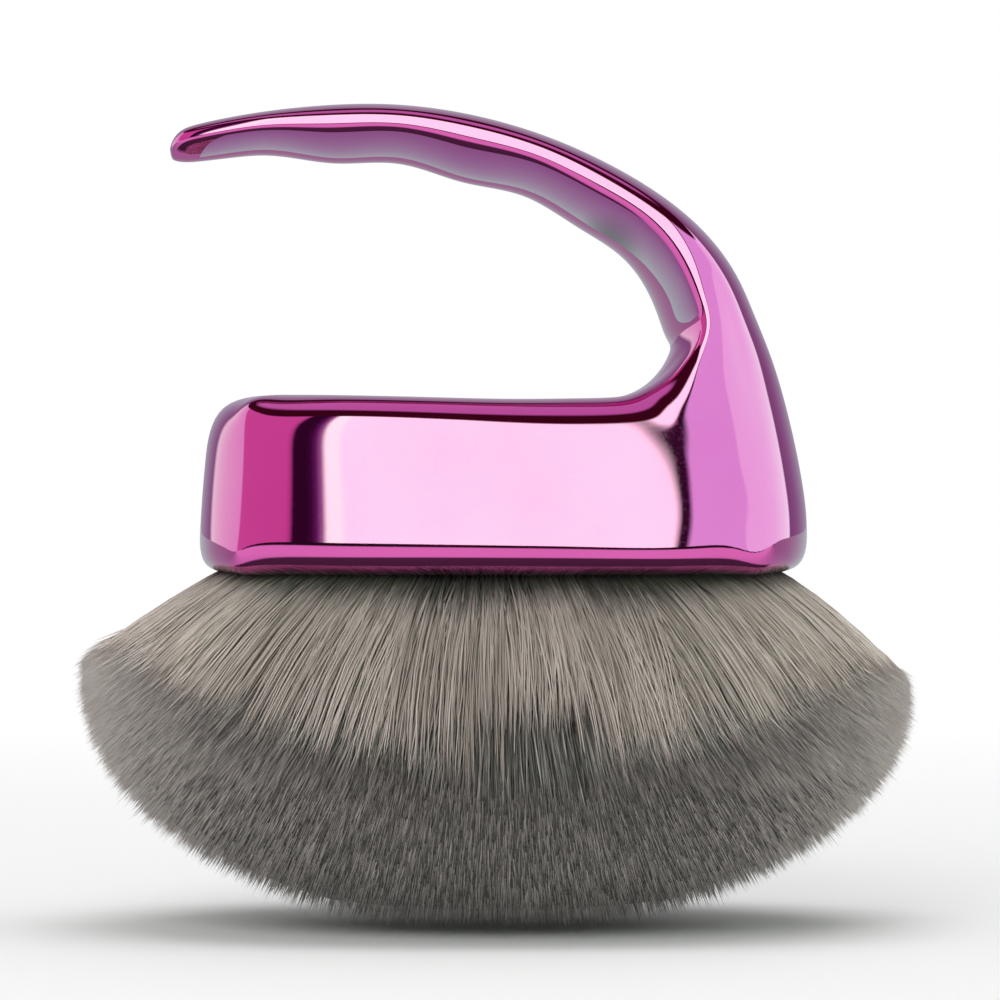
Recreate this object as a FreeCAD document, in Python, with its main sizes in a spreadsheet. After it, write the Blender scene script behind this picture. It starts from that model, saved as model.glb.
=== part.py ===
"""Kabuki body brush: a plated hook handle on a hollow oval base, with a dense domed tuft.

Frame: millimetres, +Z up. The origin is on the surface that the brush stands on, under the middle of
the tuft. +X points to the neck of the hook, so the finger loop opens towards -X.
"""

import FreeCAD
import Part
import math
import os
import Sketcher

# The driving sizes. Lengths are in millimetres, angles in degrees.
SIZES = [
    # The oval base of the handle.
    ("rim_height", 44.0, "underside of the base, above the ground"),
    ("base_length", 76.5, "base along X, at its underside"),
    ("base_depth", 44.0, "base along Y, at its underside"),
    ("base_height", 22.0, "underside to the flat top of the base"),
    ("flank_radius", 150.0, "bow of the two long sides, in plan"),
    ("end_radius", 28.0, "bow of the two ends, in plan"),
    ("corner_radius", 15.0, "four corners, in plan"),
    ("side_draft", 4.5, "lean of the side walls"),
    ("top_edge_radius", 4.5, "rounding of the top edge"),
    ("rim_edge_radius", 3.0, "rounding of the lower edge, outside"),
    ("wall", 3.4, "side wall of the base"),
    ("roof", 3.0, "top wall of the base"),
    ("rib_count", 3, "cross ribs under the roof, which stop the cup"),
    ("rib_pitch", 20.0, "rib to rib along X"),
    ("rib_thickness", 1.6, "one rib along X"),
    # The arm of the hook: a tip arc, a crown arc and a shoulder arc, along its middle.
    ("apex_offset", 19.0, "highest point of the arm, from the middle of the base towards the tip"),
    ("apex_rise", 32.8, "middle of the arm at that point, above the top of the base"),
    ("tip_arc_radius", 140.0, "arm from the tip to the apex"),
    ("tip_arc_sweep", 7.8, "turn of that arc"),
    ("crown_radius", 66.0, "arm from the apex to the shoulder"),
    ("crown_sweep", 32.0, "turn of that arc"),
    ("shoulder_radius", 24.0, "bend from the arm into the neck"),
    ("shoulder_sweep", 42.0, "turn of that bend"),
    ("tip_cap_length", 3.2, "rounded end of the arm"),
    ("tip_thickness", 5.0, "arm in the plane of the hook, at the tip"),
    ("arm_thickness", 8.8, "the same at the shoulder"),
    ("neck_thickness", 11.4, "the same at the foot of the shoulder"),
    ("tip_width", 8.6, "arm across, at the tip"),
    ("arm_width", 14.6, "the same at the shoulder"),
    ("edge_share", 0.45, "widest line of the arm, from its outside, as a share of its thickness"),
    # The finger grooves in the underside of the arm.
    ("groove_count", 3, "finger grooves"),
    ("groove_pitch", 17.2, "ridge to ridge along the arm, from its tip"),
    ("groove_depth", 1.1, "groove below its ridges"),
    # The foot of the neck, which turns round the finger loop into the base.
    ("loop_radius", 8.6, "inside corner of the finger loop"),
    ("loop_offset", 13.0, "middle of that corner, from the middle of the base"),
    ("loop_sink", 0.3, "lowest point of that corner, below the top of the base"),
    ("back_radius", 72.0, "back of the neck, in the plane of the hook"),
    ("back_rise", 4.0, "middle of that arc, above the underside of the base"),
    ("foot_width", 40.0, "neck across, where it sinks into the base"),
    # The cup that holds the roots of the tuft, inside the base.
    ("cup_clearance", 0.15, "cup to the wall of the base"),
    ("cup_recess", 1.5, "mouth of the cup, above the underside of the base"),
    ("cup_height", 14.5, "mouth to the closed top of the cup"),
    ("cup_wall", 1.6, "side wall of the cup"),
    ("cup_floor", 1.6, "closed top of the cup"),
    ("bond_radius", 4.5, "one dab of adhesive on the cup"),
    ("bond_pitch", 18.0, "dab to dab along Y"),
    ("glue_depth", 6.0, "potting of the roots, under the closed top of the cup"),
    # The tuft: fibres that spread out of the base and are cut to a dome.
    ("tuft_clearance", 0.3, "tuft to the wall of the base, at its underside"),
    ("spread_along", 58.5, "lean of the fibres at the two ends"),
    ("spread_across", 29.5, "lean of the fibres at the front and back"),
    ("spread_flank_radius", 260.0, "bow of the long sides of the spread, at the ground"),
    ("spread_end_radius", 60.0, "bow of the ends of the spread, at the ground"),
    ("spread_corner_radius", 30.0, "corners of the spread, at the ground"),
    ("dome_length", 105.0, "dome along X, at its widest"),
    ("dome_depth", 70.0, "dome along Y, at its widest"),
    ("dome_middle", 30.0, "widest level of the dome, above the ground"),
    ("dome_cut", 1.5, "depth of the whole dome below the ground, which cuts it off"),
]

Y_AXIS = FreeCAD.Vector(0, 1, 0)
Z_AXIS = FreeCAD.Vector(0, 0, 1)
# The weight that makes a quarter of a conic an ellipse.
ROUND = math.sqrt(0.5)
# Corners this near to a level, in millimetres, lie on it.
LEVEL_TOLERANCE = 1e-5
STEPS_PER_GROOVE = 4
# The rounded end of the arm closes in these steps, to a small flat.
TIP_STEPS = 3
TIP_ANGLE = 68.0
# The foot of the neck turns about the finger loop in these steps, to just short of upright. Past the
# second angle its back lies inside the base.
FOOT_STEPS = 8
FOOT_ANGLE = -88.0
SINK_ANGLE = -27.0


# The document and its sheet of sizes.
doc = FreeCAD.newDocument("kabuki_brush")
sheet = doc.addObject("Spreadsheet::Sheet", "Sizes")
for row, (alias, value, meaning) in enumerate(SIZES, start=1):
    sheet.set(f"A{row}", alias)
    sheet.set(f"B{row}", str(value))
    sheet.set(f"C{row}", meaning)
    sheet.setAlias(f"B{row}", alias)
doc.recompute()


def size(alias):
    """A driving size, read from the sheet."""
    return float(sheet.get(alias))


def bind(thing, **expressions):
    """Ties properties of a document object to the sheet."""
    for name, expression in expressions.items():
        thing.setExpression(name, expression)


# Levels and insets that several pieces share, as expressions on the sheet.
BASE_TOP = "(Sizes.rim_height + Sizes.base_height)"
ROOF_LEVEL = f"({BASE_TOP} - Sizes.roof)"
CUP_MOUTH = "(Sizes.rim_height + Sizes.cup_recess)"
CUP_TOP = f"({CUP_MOUTH} + Sizes.cup_height)"
GLUE_TOP = f"({CUP_TOP} - Sizes.cup_floor)"
GLUE_FACE = f"({GLUE_TOP} - Sizes.glue_depth)"
LEAN = "tan(Sizes.side_draft * 1 deg)"
CUP_INSET = f"(Sizes.wall + Sizes.cup_clearance + Sizes.cup_recess * {LEAN})"
CUP_BORE_INSET = f"({CUP_INSET} + Sizes.cup_wall)"
GLUE_INSET = f"({CUP_BORE_INSET} + ({GLUE_FACE} - {CUP_MOUTH}) * {LEAN})"
TUFT_INSET = "(Sizes.wall + Sizes.tuft_clearance)"
DOME_DROP = "(Sizes.dome_middle + Sizes.dome_cut)"


def base_oval(inset):
    """The plan of the base, drawn in by inset all round, as expressions."""
    return {
        "length": f"Sizes.base_length - 2 * {inset}",
        "depth": f"Sizes.base_depth - 2 * {inset}",
        "flank": f"Sizes.flank_radius - {inset}",
        "end": f"Sizes.end_radius - {inset}",
        "corner": f"Sizes.corner_radius - {inset}",
    }


def spread_oval():
    """The plan of the spread fibres if nothing cut them above the ground, as expressions."""
    root = base_oval(TUFT_INSET)
    return {
        "length": f"{root['length']} + 2 * Sizes.rim_height * tan(Sizes.spread_along * 1 deg)",
        "depth": f"{root['depth']} + 2 * Sizes.rim_height * tan(Sizes.spread_across * 1 deg)",
        "flank": "Sizes.spread_flank_radius",
        "end": "Sizes.spread_end_radius",
        "corner": "Sizes.spread_corner_radius",
    }


def oval_arcs(length, depth, flank, end, corner):
    """Eight tangent arcs round an oval: an end, a corner, a flank, a corner, and again."""
    flank_centre = flank - depth / 2
    end_centre = length / 2 - end
    # The corner's centre lies on a circle round each of its two neighbours' centres.
    reach_flank = flank - corner
    reach_end = end - corner
    span = math.hypot(end_centre, flank_centre)
    along = (reach_flank**2 - reach_end**2 + span**2) / (2 * span)
    aside = math.sqrt(reach_flank**2 - along**2)
    corner_x = (end_centre * along + flank_centre * aside) / span
    corner_y = (flank_centre * along - end_centre * aside) / span - flank_centre
    start = math.atan2(corner_y, corner_x - end_centre)
    stop = math.atan2(corner_y + flank_centre, corner_x)
    turn = math.pi
    layout = [
        (end_centre, 0, end, -start, start),
        (corner_x, corner_y, corner, start, stop),
        (0, -flank_centre, flank, stop, turn - stop),
        (-corner_x, corner_y, corner, turn - stop, turn - start),
        (-end_centre, 0, end, turn - start, turn + start),
        (-corner_x, -corner_y, corner, turn + start, turn + stop),
        (0, flank_centre, flank, turn + stop, 2 * turn - stop),
        (corner_x, -corner_y, corner, 2 * turn - stop, 2 * turn - start),
    ]
    arcs = []
    for x, y, radius, first, last in layout:
        circle = Part.Circle(FreeCAD.Vector(x, y, 0), Z_AXIS, radius)
        arcs.append(Part.ArcOfCircle(circle, first, last))
    return arcs


def flat_sketch(body, name, level):
    """An empty sketch in a body, level with the ground, at a height given as an expression."""
    sketch = body.newObject("Sketcher::SketchObject", name)
    plane = next(f for f in body.Origin.OriginFeatures if f.Role == "XY_Plane")
    sketch.AttachmentSupport = [(plane, "")]
    sketch.MapMode = "FlatFace"
    sketch.setExpression("AttachmentOffset.Base.z", level)
    return sketch


def constrain(sketch, name, expression, *definition):
    """Adds a constraint whose value comes from the sheet."""
    value = float(sheet.evalExpression(expression))
    index = sketch.addConstraint(Sketcher.Constraint(*definition, value))
    sketch.renameConstraint(index, name)
    sketch.setExpression(f"Constraints.{name}", expression)


def oval_sketch(body, name, level, oval):
    """A fully constrained sketch of an oval with its middle on the Z axis."""
    sketch = flat_sketch(body, name, level)
    values = {part: float(sheet.evalExpression(text)) for part, text in oval.items()}
    arcs = oval_arcs(**values)
    sketch.addGeometry(arcs, False)
    for index in range(len(arcs)):
        following = (index + 1) % len(arcs)
        sketch.addConstraint(Sketcher.Constraint("Tangent", index, 2, following, 1))
    for first, twins in ((0, (4,)), (1, (3, 5, 7)), (2, (6,))):
        for twin in twins:
            sketch.addConstraint(Sketcher.Constraint("Equal", first, twin))
    for end in (0, 4):
        sketch.addConstraint(Sketcher.Constraint("PointOnObject", end, 3, -1))
    for flank in (2, 6):
        sketch.addConstraint(Sketcher.Constraint("PointOnObject", flank, 3, -2))
    end_centre = f"({oval['length']}) / 2 - ({oval['end']})"
    flank_centre = f"{oval['flank']} - ({oval['depth']}) / 2"
    constrain(sketch, "end_radius", oval["end"], "Radius", 0)
    constrain(sketch, "corner_radius", oval["corner"], "Radius", 1)
    constrain(sketch, "flank_radius", oval["flank"], "Radius", 2)
    constrain(sketch, "end_right", end_centre, "DistanceX", -1, 1, 0, 3)
    constrain(sketch, "end_left", end_centre, "DistanceX", 4, 3, -1, 1)
    constrain(sketch, "flank_back", flank_centre, "DistanceY", 2, 3, -1, 1)
    constrain(sketch, "flank_front", flank_centre, "DistanceY", -1, 1, 6, 3)
    return sketch


def rectangle_sketch(body, name, level, middle, length, depth):
    """A fully constrained sketch of a rectangle with its middle on the X axis. All are expressions."""
    sketch = flat_sketch(body, name, level)
    x, half_length, half_depth = (
        float(sheet.evalExpression(text)) for text in (middle, f"({length}) / 2", f"({depth}) / 2")
    )
    corners = [
        FreeCAD.Vector(x - half_length, -half_depth, 0),
        FreeCAD.Vector(x + half_length, -half_depth, 0),
        FreeCAD.Vector(x + half_length, half_depth, 0),
        FreeCAD.Vector(x - half_length, half_depth, 0),
    ]
    for index, corner in enumerate(corners):
        following = (index + 1) % len(corners)
        sketch.addGeometry(Part.LineSegment(corner, corners[following]), False)
    for index in range(len(corners)):
        following = (index + 1) % len(corners)
        sketch.addConstraint(Sketcher.Constraint("Coincident", index, 2, following, 1))
    for index, way in enumerate(("Horizontal", "Vertical", "Horizontal", "Vertical")):
        sketch.addConstraint(Sketcher.Constraint(way, index))
    constrain(sketch, "length", length, "DistanceX", 0, 1, 0, 2)
    constrain(sketch, "depth", depth, "DistanceY", 1, 1, 1, 2)
    constrain(sketch, "front", f"({depth}) / 2", "DistanceY", 0, 1, -1, 1)
    constrain(sketch, "place", f"({length}) / 2 - ({middle})", "DistanceX", 0, 1, -1, 1)
    return sketch


def tapered_pad(body, name, sketch, height):
    """A block that rises from a sketch and leans in as the walls of the base do."""
    pad = body.newObject("PartDesign::Pad", name)
    pad.Profile = sketch
    bind(pad, Length=height, TaperAngle="-Sizes.side_draft")
    return pad


def edges_at(feature, level):
    """Names of the edges of a feature that lie at one level."""
    names = []
    for index, edge in enumerate(feature.Shape.Edges, start=1):
        if all(abs(vertex.Z - level) < LEVEL_TOLERANCE for vertex in edge.Vertexes):
            names.append(f"Edge{index}")
    return names


# The oval block of the base, with its edges rounded.
base = doc.addObject("PartDesign::Body", "BaseBlock")
base_plan = oval_sketch(base, "BasePlan", "Sizes.rim_height", base_oval("0"))
base_pad = tapered_pad(base, "BasePad", base_plan, "Sizes.base_height")
doc.recompute()
top_edge = base.newObject("PartDesign::Fillet", "TopEdge")
top_edge.Base = (base_pad, edges_at(base_pad, size("rim_height") + size("base_height")))
bind(top_edge, Radius="Sizes.top_edge_radius")
doc.recompute()
rim_edge = base.newObject("PartDesign::Fillet", "RimEdge")
rim_edge.Base = (top_edge, edges_at(top_edge, size("rim_height")))
bind(rim_edge, Radius="Sizes.rim_edge_radius")
doc.recompute()


def in_plane(x, z):
    """A point in the plane of the hook."""
    return FreeCAD.Vector(x, 0, z)


class Section:
    """A rounded section across the hook, of four quarter ellipses.

    It lies between an inner and an outer point in the plane of the hook. Its widest line is at edge_share
    of the thickness from the outer point.
    """

    def __init__(self, inner, outer, edge_share, width):
        self.inner = inner
        middle = outer + (inner - outer) * edge_share
        side = Y_AXIS * (width / 2)
        ends = [outer, middle + side, inner, middle - side]
        # Each quarter runs from an end, towards a corner, to the next end.
        self.quarters = []
        for index, start in enumerate(ends):
            stop = ends[(index + 1) % len(ends)]
            self.quarters.append((start, start + stop - middle, stop))

    def face(self):
        edges = []
        for poles in self.quarters:
            curve = Part.BezierCurve()
            curve.setPoles(list(poles))
            curve.setWeight(2, ROUND)
            edges.append(curve.toShape())
        return Part.Face(Part.Wire(edges))


def skin(sections):
    """A closed solid through sections, smooth along its length."""
    runs = [0.0]
    for before, after in zip(sections, sections[1:]):
        steps = [a[0].distanceToPoint(b[0]) for a, b in zip(before.quarters, after.quarters)]
        runs.append(runs[-1] + sum(steps) / len(steps))
    faces = [sections[0].face(), sections[-1].face()]
    for quarter in range(4):
        chains = []
        for pole in range(3):
            chain = Part.BSplineCurve()
            chain.interpolate(Points=[s.quarters[quarter][pole] for s in sections], Parameters=runs)
            chains.append(chain)
        rows = [chain.getPoles() for chain in chains]
        weights = [[weight] * len(rows[0]) for weight in (1.0, ROUND, 1.0)]
        surface = Part.BSplineSurface()
        surface.buildFromPolesMultsKnots(
            rows,
            [3, 3],
            chains[0].getMultiplicities(),
            [0.0, 1.0],
            chains[0].getKnots(),
            False,
            False,
            2,
            chains[0].Degree,
            weights,
        )
        faces.append(surface.toShape())
    shell = Part.makeShell(faces)
    shell.sewShape()
    solid = Part.makeSolid(shell)
    if solid.Volume < 0:
        solid.reverse()
    return solid


def ease(share):
    """Rises from 0 to 1, fast at first."""
    return 1 - (1 - share) ** 3


def smooth(share):
    """Rises from 0 to 1, level at both ends."""
    return share * share * (3 - 2 * share)


def mix(first, last, share):
    """Between two values."""
    return first + (last - first) * share


def neck_width(turn):
    """Width of the neck, which opens out as it turns from the arm down into the base."""
    whole_turn = 90 - size("crown_sweep") - FOOT_ANGLE
    return mix(size("arm_width"), size("foot_width"), smooth(turn / whole_turn))


def arm_sections():
    """The sections of the arm from its tip to the foot of the shoulder."""
    apex_level = size("rim_height") + size("base_height") + size("apex_rise")
    apex = in_plane(-size("apex_offset"), apex_level)
    tip_length = size("tip_arc_radius") * math.radians(size("tip_arc_sweep"))
    crown_length = size("crown_radius") * math.radians(size("crown_sweep"))
    arm_length = tip_length + crown_length
    shoulder_length = size("shoulder_radius") * math.radians(size("shoulder_sweep"))
    groove_length = size("groove_pitch") * size("groove_count")

    def spine(run):
        """Point and outward direction at a distance along the arm from its tip."""
        if run < tip_length:
            angle = (run - tip_length) / size("tip_arc_radius")
            centre = apex - Z_AXIS * size("tip_arc_radius")
            radius = size("tip_arc_radius")
        else:
            angle = min(run - tip_length, crown_length) / size("crown_radius")
            centre = apex - Z_AXIS * size("crown_radius")
            radius = size("crown_radius")
        if run > arm_length:
            bend_out = in_plane(math.sin(angle), math.cos(angle))
            centre = centre + bend_out * (radius - size("shoulder_radius"))
            radius = size("shoulder_radius")
            angle = angle + (run - arm_length) / radius
        outward = in_plane(math.sin(angle), math.cos(angle))
        return centre + outward * radius, outward

    def section(run):
        point, outward = spine(run)
        if run <= arm_length:
            share = ease(run / arm_length)
            thickness = mix(size("tip_thickness"), size("arm_thickness"), share)
            width = mix(size("tip_width"), size("arm_width"), share)
        else:
            share = smooth((run - arm_length) / shoulder_length)
            thickness = mix(size("arm_thickness"), size("neck_thickness"), share)
            width = neck_width((run - arm_length) / shoulder_length * size("shoulder_sweep"))
        groove = 0.0
        if run < groove_length:
            wave = 0.5 - 0.5 * math.cos(2 * math.pi * run / size("groove_pitch"))
            groove = size("groove_depth") * wave
        outer = point + outward * (thickness / 2)
        inner = point - outward * (thickness / 2 - groove)
        # The widest line runs straight past the grooves.
        edge_share = size("edge_share") * thickness / (thickness - groove)
        return Section(inner, outer, edge_share, width)

    def tip_section(angle):
        """A section of the rounded end, at an angle round it from the arm."""
        point, outward = spine(0.0)
        to_tip = in_plane(-outward.z, outward.x)
        middle = point + to_tip * (size("tip_cap_length") * math.sin(angle))
        half = outward * (size("tip_thickness") / 2 * math.cos(angle))
        width = size("tip_width") * math.cos(angle)
        return Section(middle - half, middle + half, size("edge_share"), width)

    groove_steps = int(size("groove_count")) * STEPS_PER_GROOVE
    plain_length = arm_length + shoulder_length - groove_length
    plain_steps = round(plain_length / groove_length * groove_steps)
    runs = [groove_length * step / groove_steps for step in range(groove_steps)]
    runs += [groove_length + plain_length * step / plain_steps for step in range(plain_steps + 1)]
    tip_angles = [TIP_ANGLE * step / TIP_STEPS for step in range(TIP_STEPS, 0, -1)]
    return [tip_section(math.radians(angle)) for angle in tip_angles] + [section(run) for run in runs]


def foot_sections(shoulder):
    """The sections of the neck's foot, on rays about the corner of the finger loop, into the base."""
    base_top = size("rim_height") + size("base_height")
    pivot = in_plane(size("loop_offset"), base_top + size("loop_radius") - size("loop_sink"))
    back_centre = in_plane(
        size("base_length") / 2 - size("back_radius"), size("rim_height") + size("back_rise")
    )
    offset = pivot - back_centre

    def ray_at(angle):
        return in_plane(math.cos(math.radians(angle)), math.sin(math.radians(angle)))

    def reach_at(angle):
        """From the corner of the loop to the arc of the back."""
        half = offset.dot(ray_at(angle))
        return -half + math.sqrt(half**2 - offset.dot(offset) + size("back_radius") ** 2)

    first = shoulder.inner - pivot
    first_angle = math.degrees(math.atan2(first.z, first.x))
    sections = []
    for step in range(1, FOOT_STEPS + 1):
        angle = mix(first_angle, FOOT_ANGLE, step / FOOT_STEPS)
        inner = pivot + ray_at(angle) * size("loop_radius")
        outer = pivot + ray_at(angle) * reach_at(max(angle, SINK_ANGLE))
        width = neck_width(90 - size("crown_sweep") - angle)
        sections.append(Section(inner, outer, size("edge_share"), width))
    return sections


# The hook: one skin from the rounded tip to the foot inside the base.
arm = arm_sections()
hook = doc.addObject("Part::Feature", "Hook")
hook.Shape = skin(arm + foot_sections(arm[-1]))

# The cavity of the base: the room for the cup, with the stop ribs left standing under the roof.
cavity = doc.addObject("PartDesign::Body", "Cavity")
cavity_plan = oval_sketch(cavity, "CavityPlan", "Sizes.rim_height", base_oval("Sizes.wall"))
cavity_pad = tapered_pad(cavity, "CavityPad", cavity_plan, f"{ROOF_LEVEL} - Sizes.rim_height")
doc.recompute()
first_rib = "(1 - Sizes.rib_count) / 2 * Sizes.rib_pitch"
rib_plan = rectangle_sketch(
    cavity, "RibPlan", ROOF_LEVEL, first_rib, "Sizes.rib_thickness", "Sizes.base_depth"
)
rib_slot = cavity.newObject("PartDesign::Pocket", "RibSlot")
rib_slot.Profile = rib_plan
bind(rib_slot, Length=f"{ROOF_LEVEL} - {CUP_TOP}")
ribs = cavity.newObject("PartDesign::LinearPattern", "RibSlots")
ribs.Originals = [rib_slot]
ribs.Direction = (rib_plan, ["H_Axis"])
bind(ribs, Length="(Sizes.rib_count - 1) * Sizes.rib_pitch", Occurrences="Sizes.rib_count")
cavity.Tip = ribs
doc.recompute()

# The handle: base and hook in one moulding, hollow from below.
moulding = doc.addObject("Part::MultiFuse", "Moulding")
moulding.Shapes = [base, hook]
handle = doc.addObject("Part::Cut", "Handle")
handle.Base = moulding
handle.Tool = cavity
handle.Label = "handle"
doc.recompute()

# The cup that holds the roots: a drawn-in copy of the cavity, open downwards.
cup = doc.addObject("PartDesign::Body", "BristleCup")
cup_plan = oval_sketch(cup, "CupPlan", CUP_MOUTH, base_oval(CUP_INSET))
cup_pad = tapered_pad(cup, "CupPad", cup_plan, "Sizes.cup_height")
doc.recompute()
bore_plan = oval_sketch(cup, "BorePlan", CUP_MOUTH, base_oval(CUP_BORE_INSET))
cup_bore = cup.newObject("PartDesign::Pocket", "CupBore")
cup_bore.Profile = bore_plan
cup_bore.Reversed = True
bind(cup_bore, Length="Sizes.cup_height - Sizes.cup_floor", TaperAngle="-Sizes.side_draft")
cup.Label = "bristle_cup"
doc.recompute()

# The dabs of adhesive on the cup, between the stop ribs, up to the roof.
dabs = []
for column in range(int(size("rib_count")) - 1):
    for side in (-1, 1):
        dab = doc.addObject("Part::Cylinder", "Dab")
        bind(dab, Radius="Sizes.bond_radius", Height=f"{ROOF_LEVEL} - {CUP_TOP}")
        dab.setExpression("Placement.Base.x", f"({column} + 1 - Sizes.rib_count / 2) * Sizes.rib_pitch")
        dab.setExpression("Placement.Base.y", f"{side} * Sizes.bond_pitch / 2")
        dab.setExpression("Placement.Base.z", CUP_TOP)
        dabs.append(dab)
bond = doc.addObject("Part::Compound", "CupBond")
bond.Links = dabs
bond.Label = "cup_bond"

# The potting that holds the roots in the cup.
glue = doc.addObject("PartDesign::Body", "RootGlue")
glue_plan = oval_sketch(glue, "GluePlan", GLUE_FACE, base_oval(GLUE_INSET))
glue_pad = tapered_pad(glue, "GluePad", glue_plan, "Sizes.glue_depth")
glue.Label = "root_glue"
doc.recompute()

# The fibres: packed in the cup, spreading below it, and cut to a dome that the ground flattens.
spread = doc.addObject("PartDesign::Body", "SpreadFibres")
root_top = oval_sketch(spread, "RootTop", GLUE_FACE, base_oval(GLUE_INSET))
root_mouth = oval_sketch(spread, "RootMouth", CUP_MOUTH, base_oval(CUP_BORE_INSET))
root_rim = oval_sketch(spread, "RootRim", "Sizes.rim_height", base_oval(TUFT_INSET))
spread_ground = oval_sketch(spread, "SpreadGround", "0", spread_oval())
doc.recompute()
spread_loft = spread.newObject("PartDesign::AdditiveLoft", "SpreadLoft")
spread_loft.Profile = root_top
spread_loft.Sections = [root_mouth, root_rim, spread_ground]
spread_loft.Ruled = True
doc.recompute()
dome = doc.addObject("Part::Ellipsoid", "Dome")
dome.Angle2 = 0
bind(dome, Radius1=DOME_DROP, Radius2="Sizes.dome_length / 2", Radius3="Sizes.dome_depth / 2")
bind(dome, Angle1=f"-asin(Sizes.dome_middle / {DOME_DROP})")
dome.setExpression("Placement.Base.z", "Sizes.dome_middle")
waist_plan = doc.addObject("Part::Ellipse", "WaistPlan")
bind(waist_plan, MajorRadius="Sizes.dome_length / 2", MinorRadius="Sizes.dome_depth / 2")
waist_plan.setExpression("Placement.Base.z", "Sizes.dome_middle")
waist = doc.addObject("Part::Extrusion", "Waist")
waist.Base = waist_plan
waist.Dir = Z_AXIS
waist.DirMode = "Custom"
waist.Solid = True
bind(waist, LengthFwd=f"{CUP_TOP} - Sizes.dome_middle")
cut_form = doc.addObject("Part::Fuse", "CutForm")
cut_form.Base = dome
cut_form.Tool = waist
tuft = doc.addObject("Part::Common", "Tuft")
tuft.Base = spread
tuft.Tool = cut_form
tuft.Label = "bristle_tuft"
doc.recompute()

# Nothing is written unless every object of the document is sound.
for thing in doc.Objects:
    if "Invalid" in thing.State or "Error" in thing.State:
        raise RuntimeError(f"{thing.Name} failed: {thing.State}")
NODES = [handle, cup, bond, glue, tuft]
for node in NODES:
    if node.Shape.isNull() or not node.Shape.isValid():
        raise RuntimeError(f"{node.Label} has no sound shape")

os.makedirs("parts", exist_ok=True)
for node in NODES:
    node.Shape.exportStep(f"parts/{node.Label}.step")
    box = node.Shape.BoundBox
    corners = [round(value, 2) for value in (box.XMin, box.XMax, box.YMin, box.YMax, box.ZMin, box.ZMax)]
    print(node.Label, len(node.Shape.Solids), "solids", round(node.Shape.Volume), "mm3", corners)
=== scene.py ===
# %% [markdown]
# # A plated kabuki brush with a hook handle
# A kabuki brush is a short, dense makeup brush. This one has a hollow oval base, an arm that curls back over
# it like a hook, and a wide tuft that it stands on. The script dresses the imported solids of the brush: it
# makes the mirror skin of the handle, grows the fibres, and builds the small studio that the mirror shows.
#
# The frame is in metres, +Z up, with the origin on the surface under the brush. Every piece is made where
# the solids are, so nothing is fitted by eye afterwards. Sizes of the brush are in millimetres here, and MM
# turns them into metres.

# %% Load the frame
import math

import bmesh
import bpy
import numpy as np
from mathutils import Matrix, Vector


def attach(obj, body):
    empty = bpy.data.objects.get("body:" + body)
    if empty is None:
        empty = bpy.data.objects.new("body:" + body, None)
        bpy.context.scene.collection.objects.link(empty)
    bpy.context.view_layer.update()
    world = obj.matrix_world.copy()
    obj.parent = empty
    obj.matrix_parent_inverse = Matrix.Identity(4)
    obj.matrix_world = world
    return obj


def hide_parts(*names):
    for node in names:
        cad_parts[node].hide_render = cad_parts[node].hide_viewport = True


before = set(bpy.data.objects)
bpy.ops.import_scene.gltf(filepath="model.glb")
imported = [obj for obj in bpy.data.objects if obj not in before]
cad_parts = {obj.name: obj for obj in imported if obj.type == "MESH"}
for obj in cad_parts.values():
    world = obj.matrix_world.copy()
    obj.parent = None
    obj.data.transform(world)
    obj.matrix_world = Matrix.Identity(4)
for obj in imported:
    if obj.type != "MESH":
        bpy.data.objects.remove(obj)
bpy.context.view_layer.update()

scene = bpy.context.scene
MM = 0.001
bpy.ops.object.select_all(action="DESELECT")
print("nodes", sorted(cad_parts))

# %% [markdown]
# ## The camera
# The photograph is a catalogue shot: almost level, square to the long side, and taken from far enough that
# the near and far sides are about the same size. An orthographic camera would lose that last bit of depth,
# so a long lens is used. The picture is 125 mm wide at the middle of the brush.

# %% Camera
CAMERA_DISTANCE = 0.65
CAMERA_RISE = math.radians(0.8)
PICTURE_WIDTH = 0.125
PICTURE_MIDDLE = Vector((0.0, 0.0, 0.0531))
SENSOR_WIDTH = 36.0

camera_data = bpy.data.cameras.new("camera")
camera = bpy.data.objects.new("camera", camera_data)
scene.collection.objects.link(camera)
camera_data.sensor_width = SENSOR_WIDTH
camera_data.lens = SENSOR_WIDTH * CAMERA_DISTANCE / PICTURE_WIDTH
towards_camera = Vector((0.0, -math.cos(CAMERA_RISE), math.sin(CAMERA_RISE)))
camera.location = PICTURE_MIDDLE + CAMERA_DISTANCE * towards_camera
camera.rotation_euler = (math.pi / 2 - CAMERA_RISE, 0.0, 0.0)
scene.camera = camera
print("camera lens", round(camera_data.lens, 1), "mm")

# %% [markdown]
# ## The handle
# The real handle is one moulding, plated all over. Its flat front runs up the neck and narrows to a thin
# strip along the arm, and the tight edge beside it never stops. It could be joined from a block, a neck and
# a bent tube, but a mirror shows every joint. A cage of rings that follows the letter C from the closed end
# of the base to the tip of the hook has the same flow as the moulding, and Subdivision Surface turns it
# into a skin with no creases.
#
# The plan of the base comes first. It is an oval of eight arcs: a wide one along each flank, a smaller one
# round each end, and a corner arc that touches both. A point of it is found by its turn in degrees from
# an end. The walls lean in as they rise, so a level also has an inset.

# %% The plan of the base
BASE_LENGTH = 76.5
BASE_DEPTH = 44.0
FLANK_RADIUS = 150.0
END_RADIUS = 28.0
CORNER_RADIUS = 15.0
RIM_LEVEL = 44.0
TOP_LEVEL = 66.2
LEAN = math.tan(math.radians(4.5))

FLANK_CENTRE = FLANK_RADIUS - BASE_DEPTH / 2
END_CENTRE = BASE_LENGTH / 2 - END_RADIUS


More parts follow.
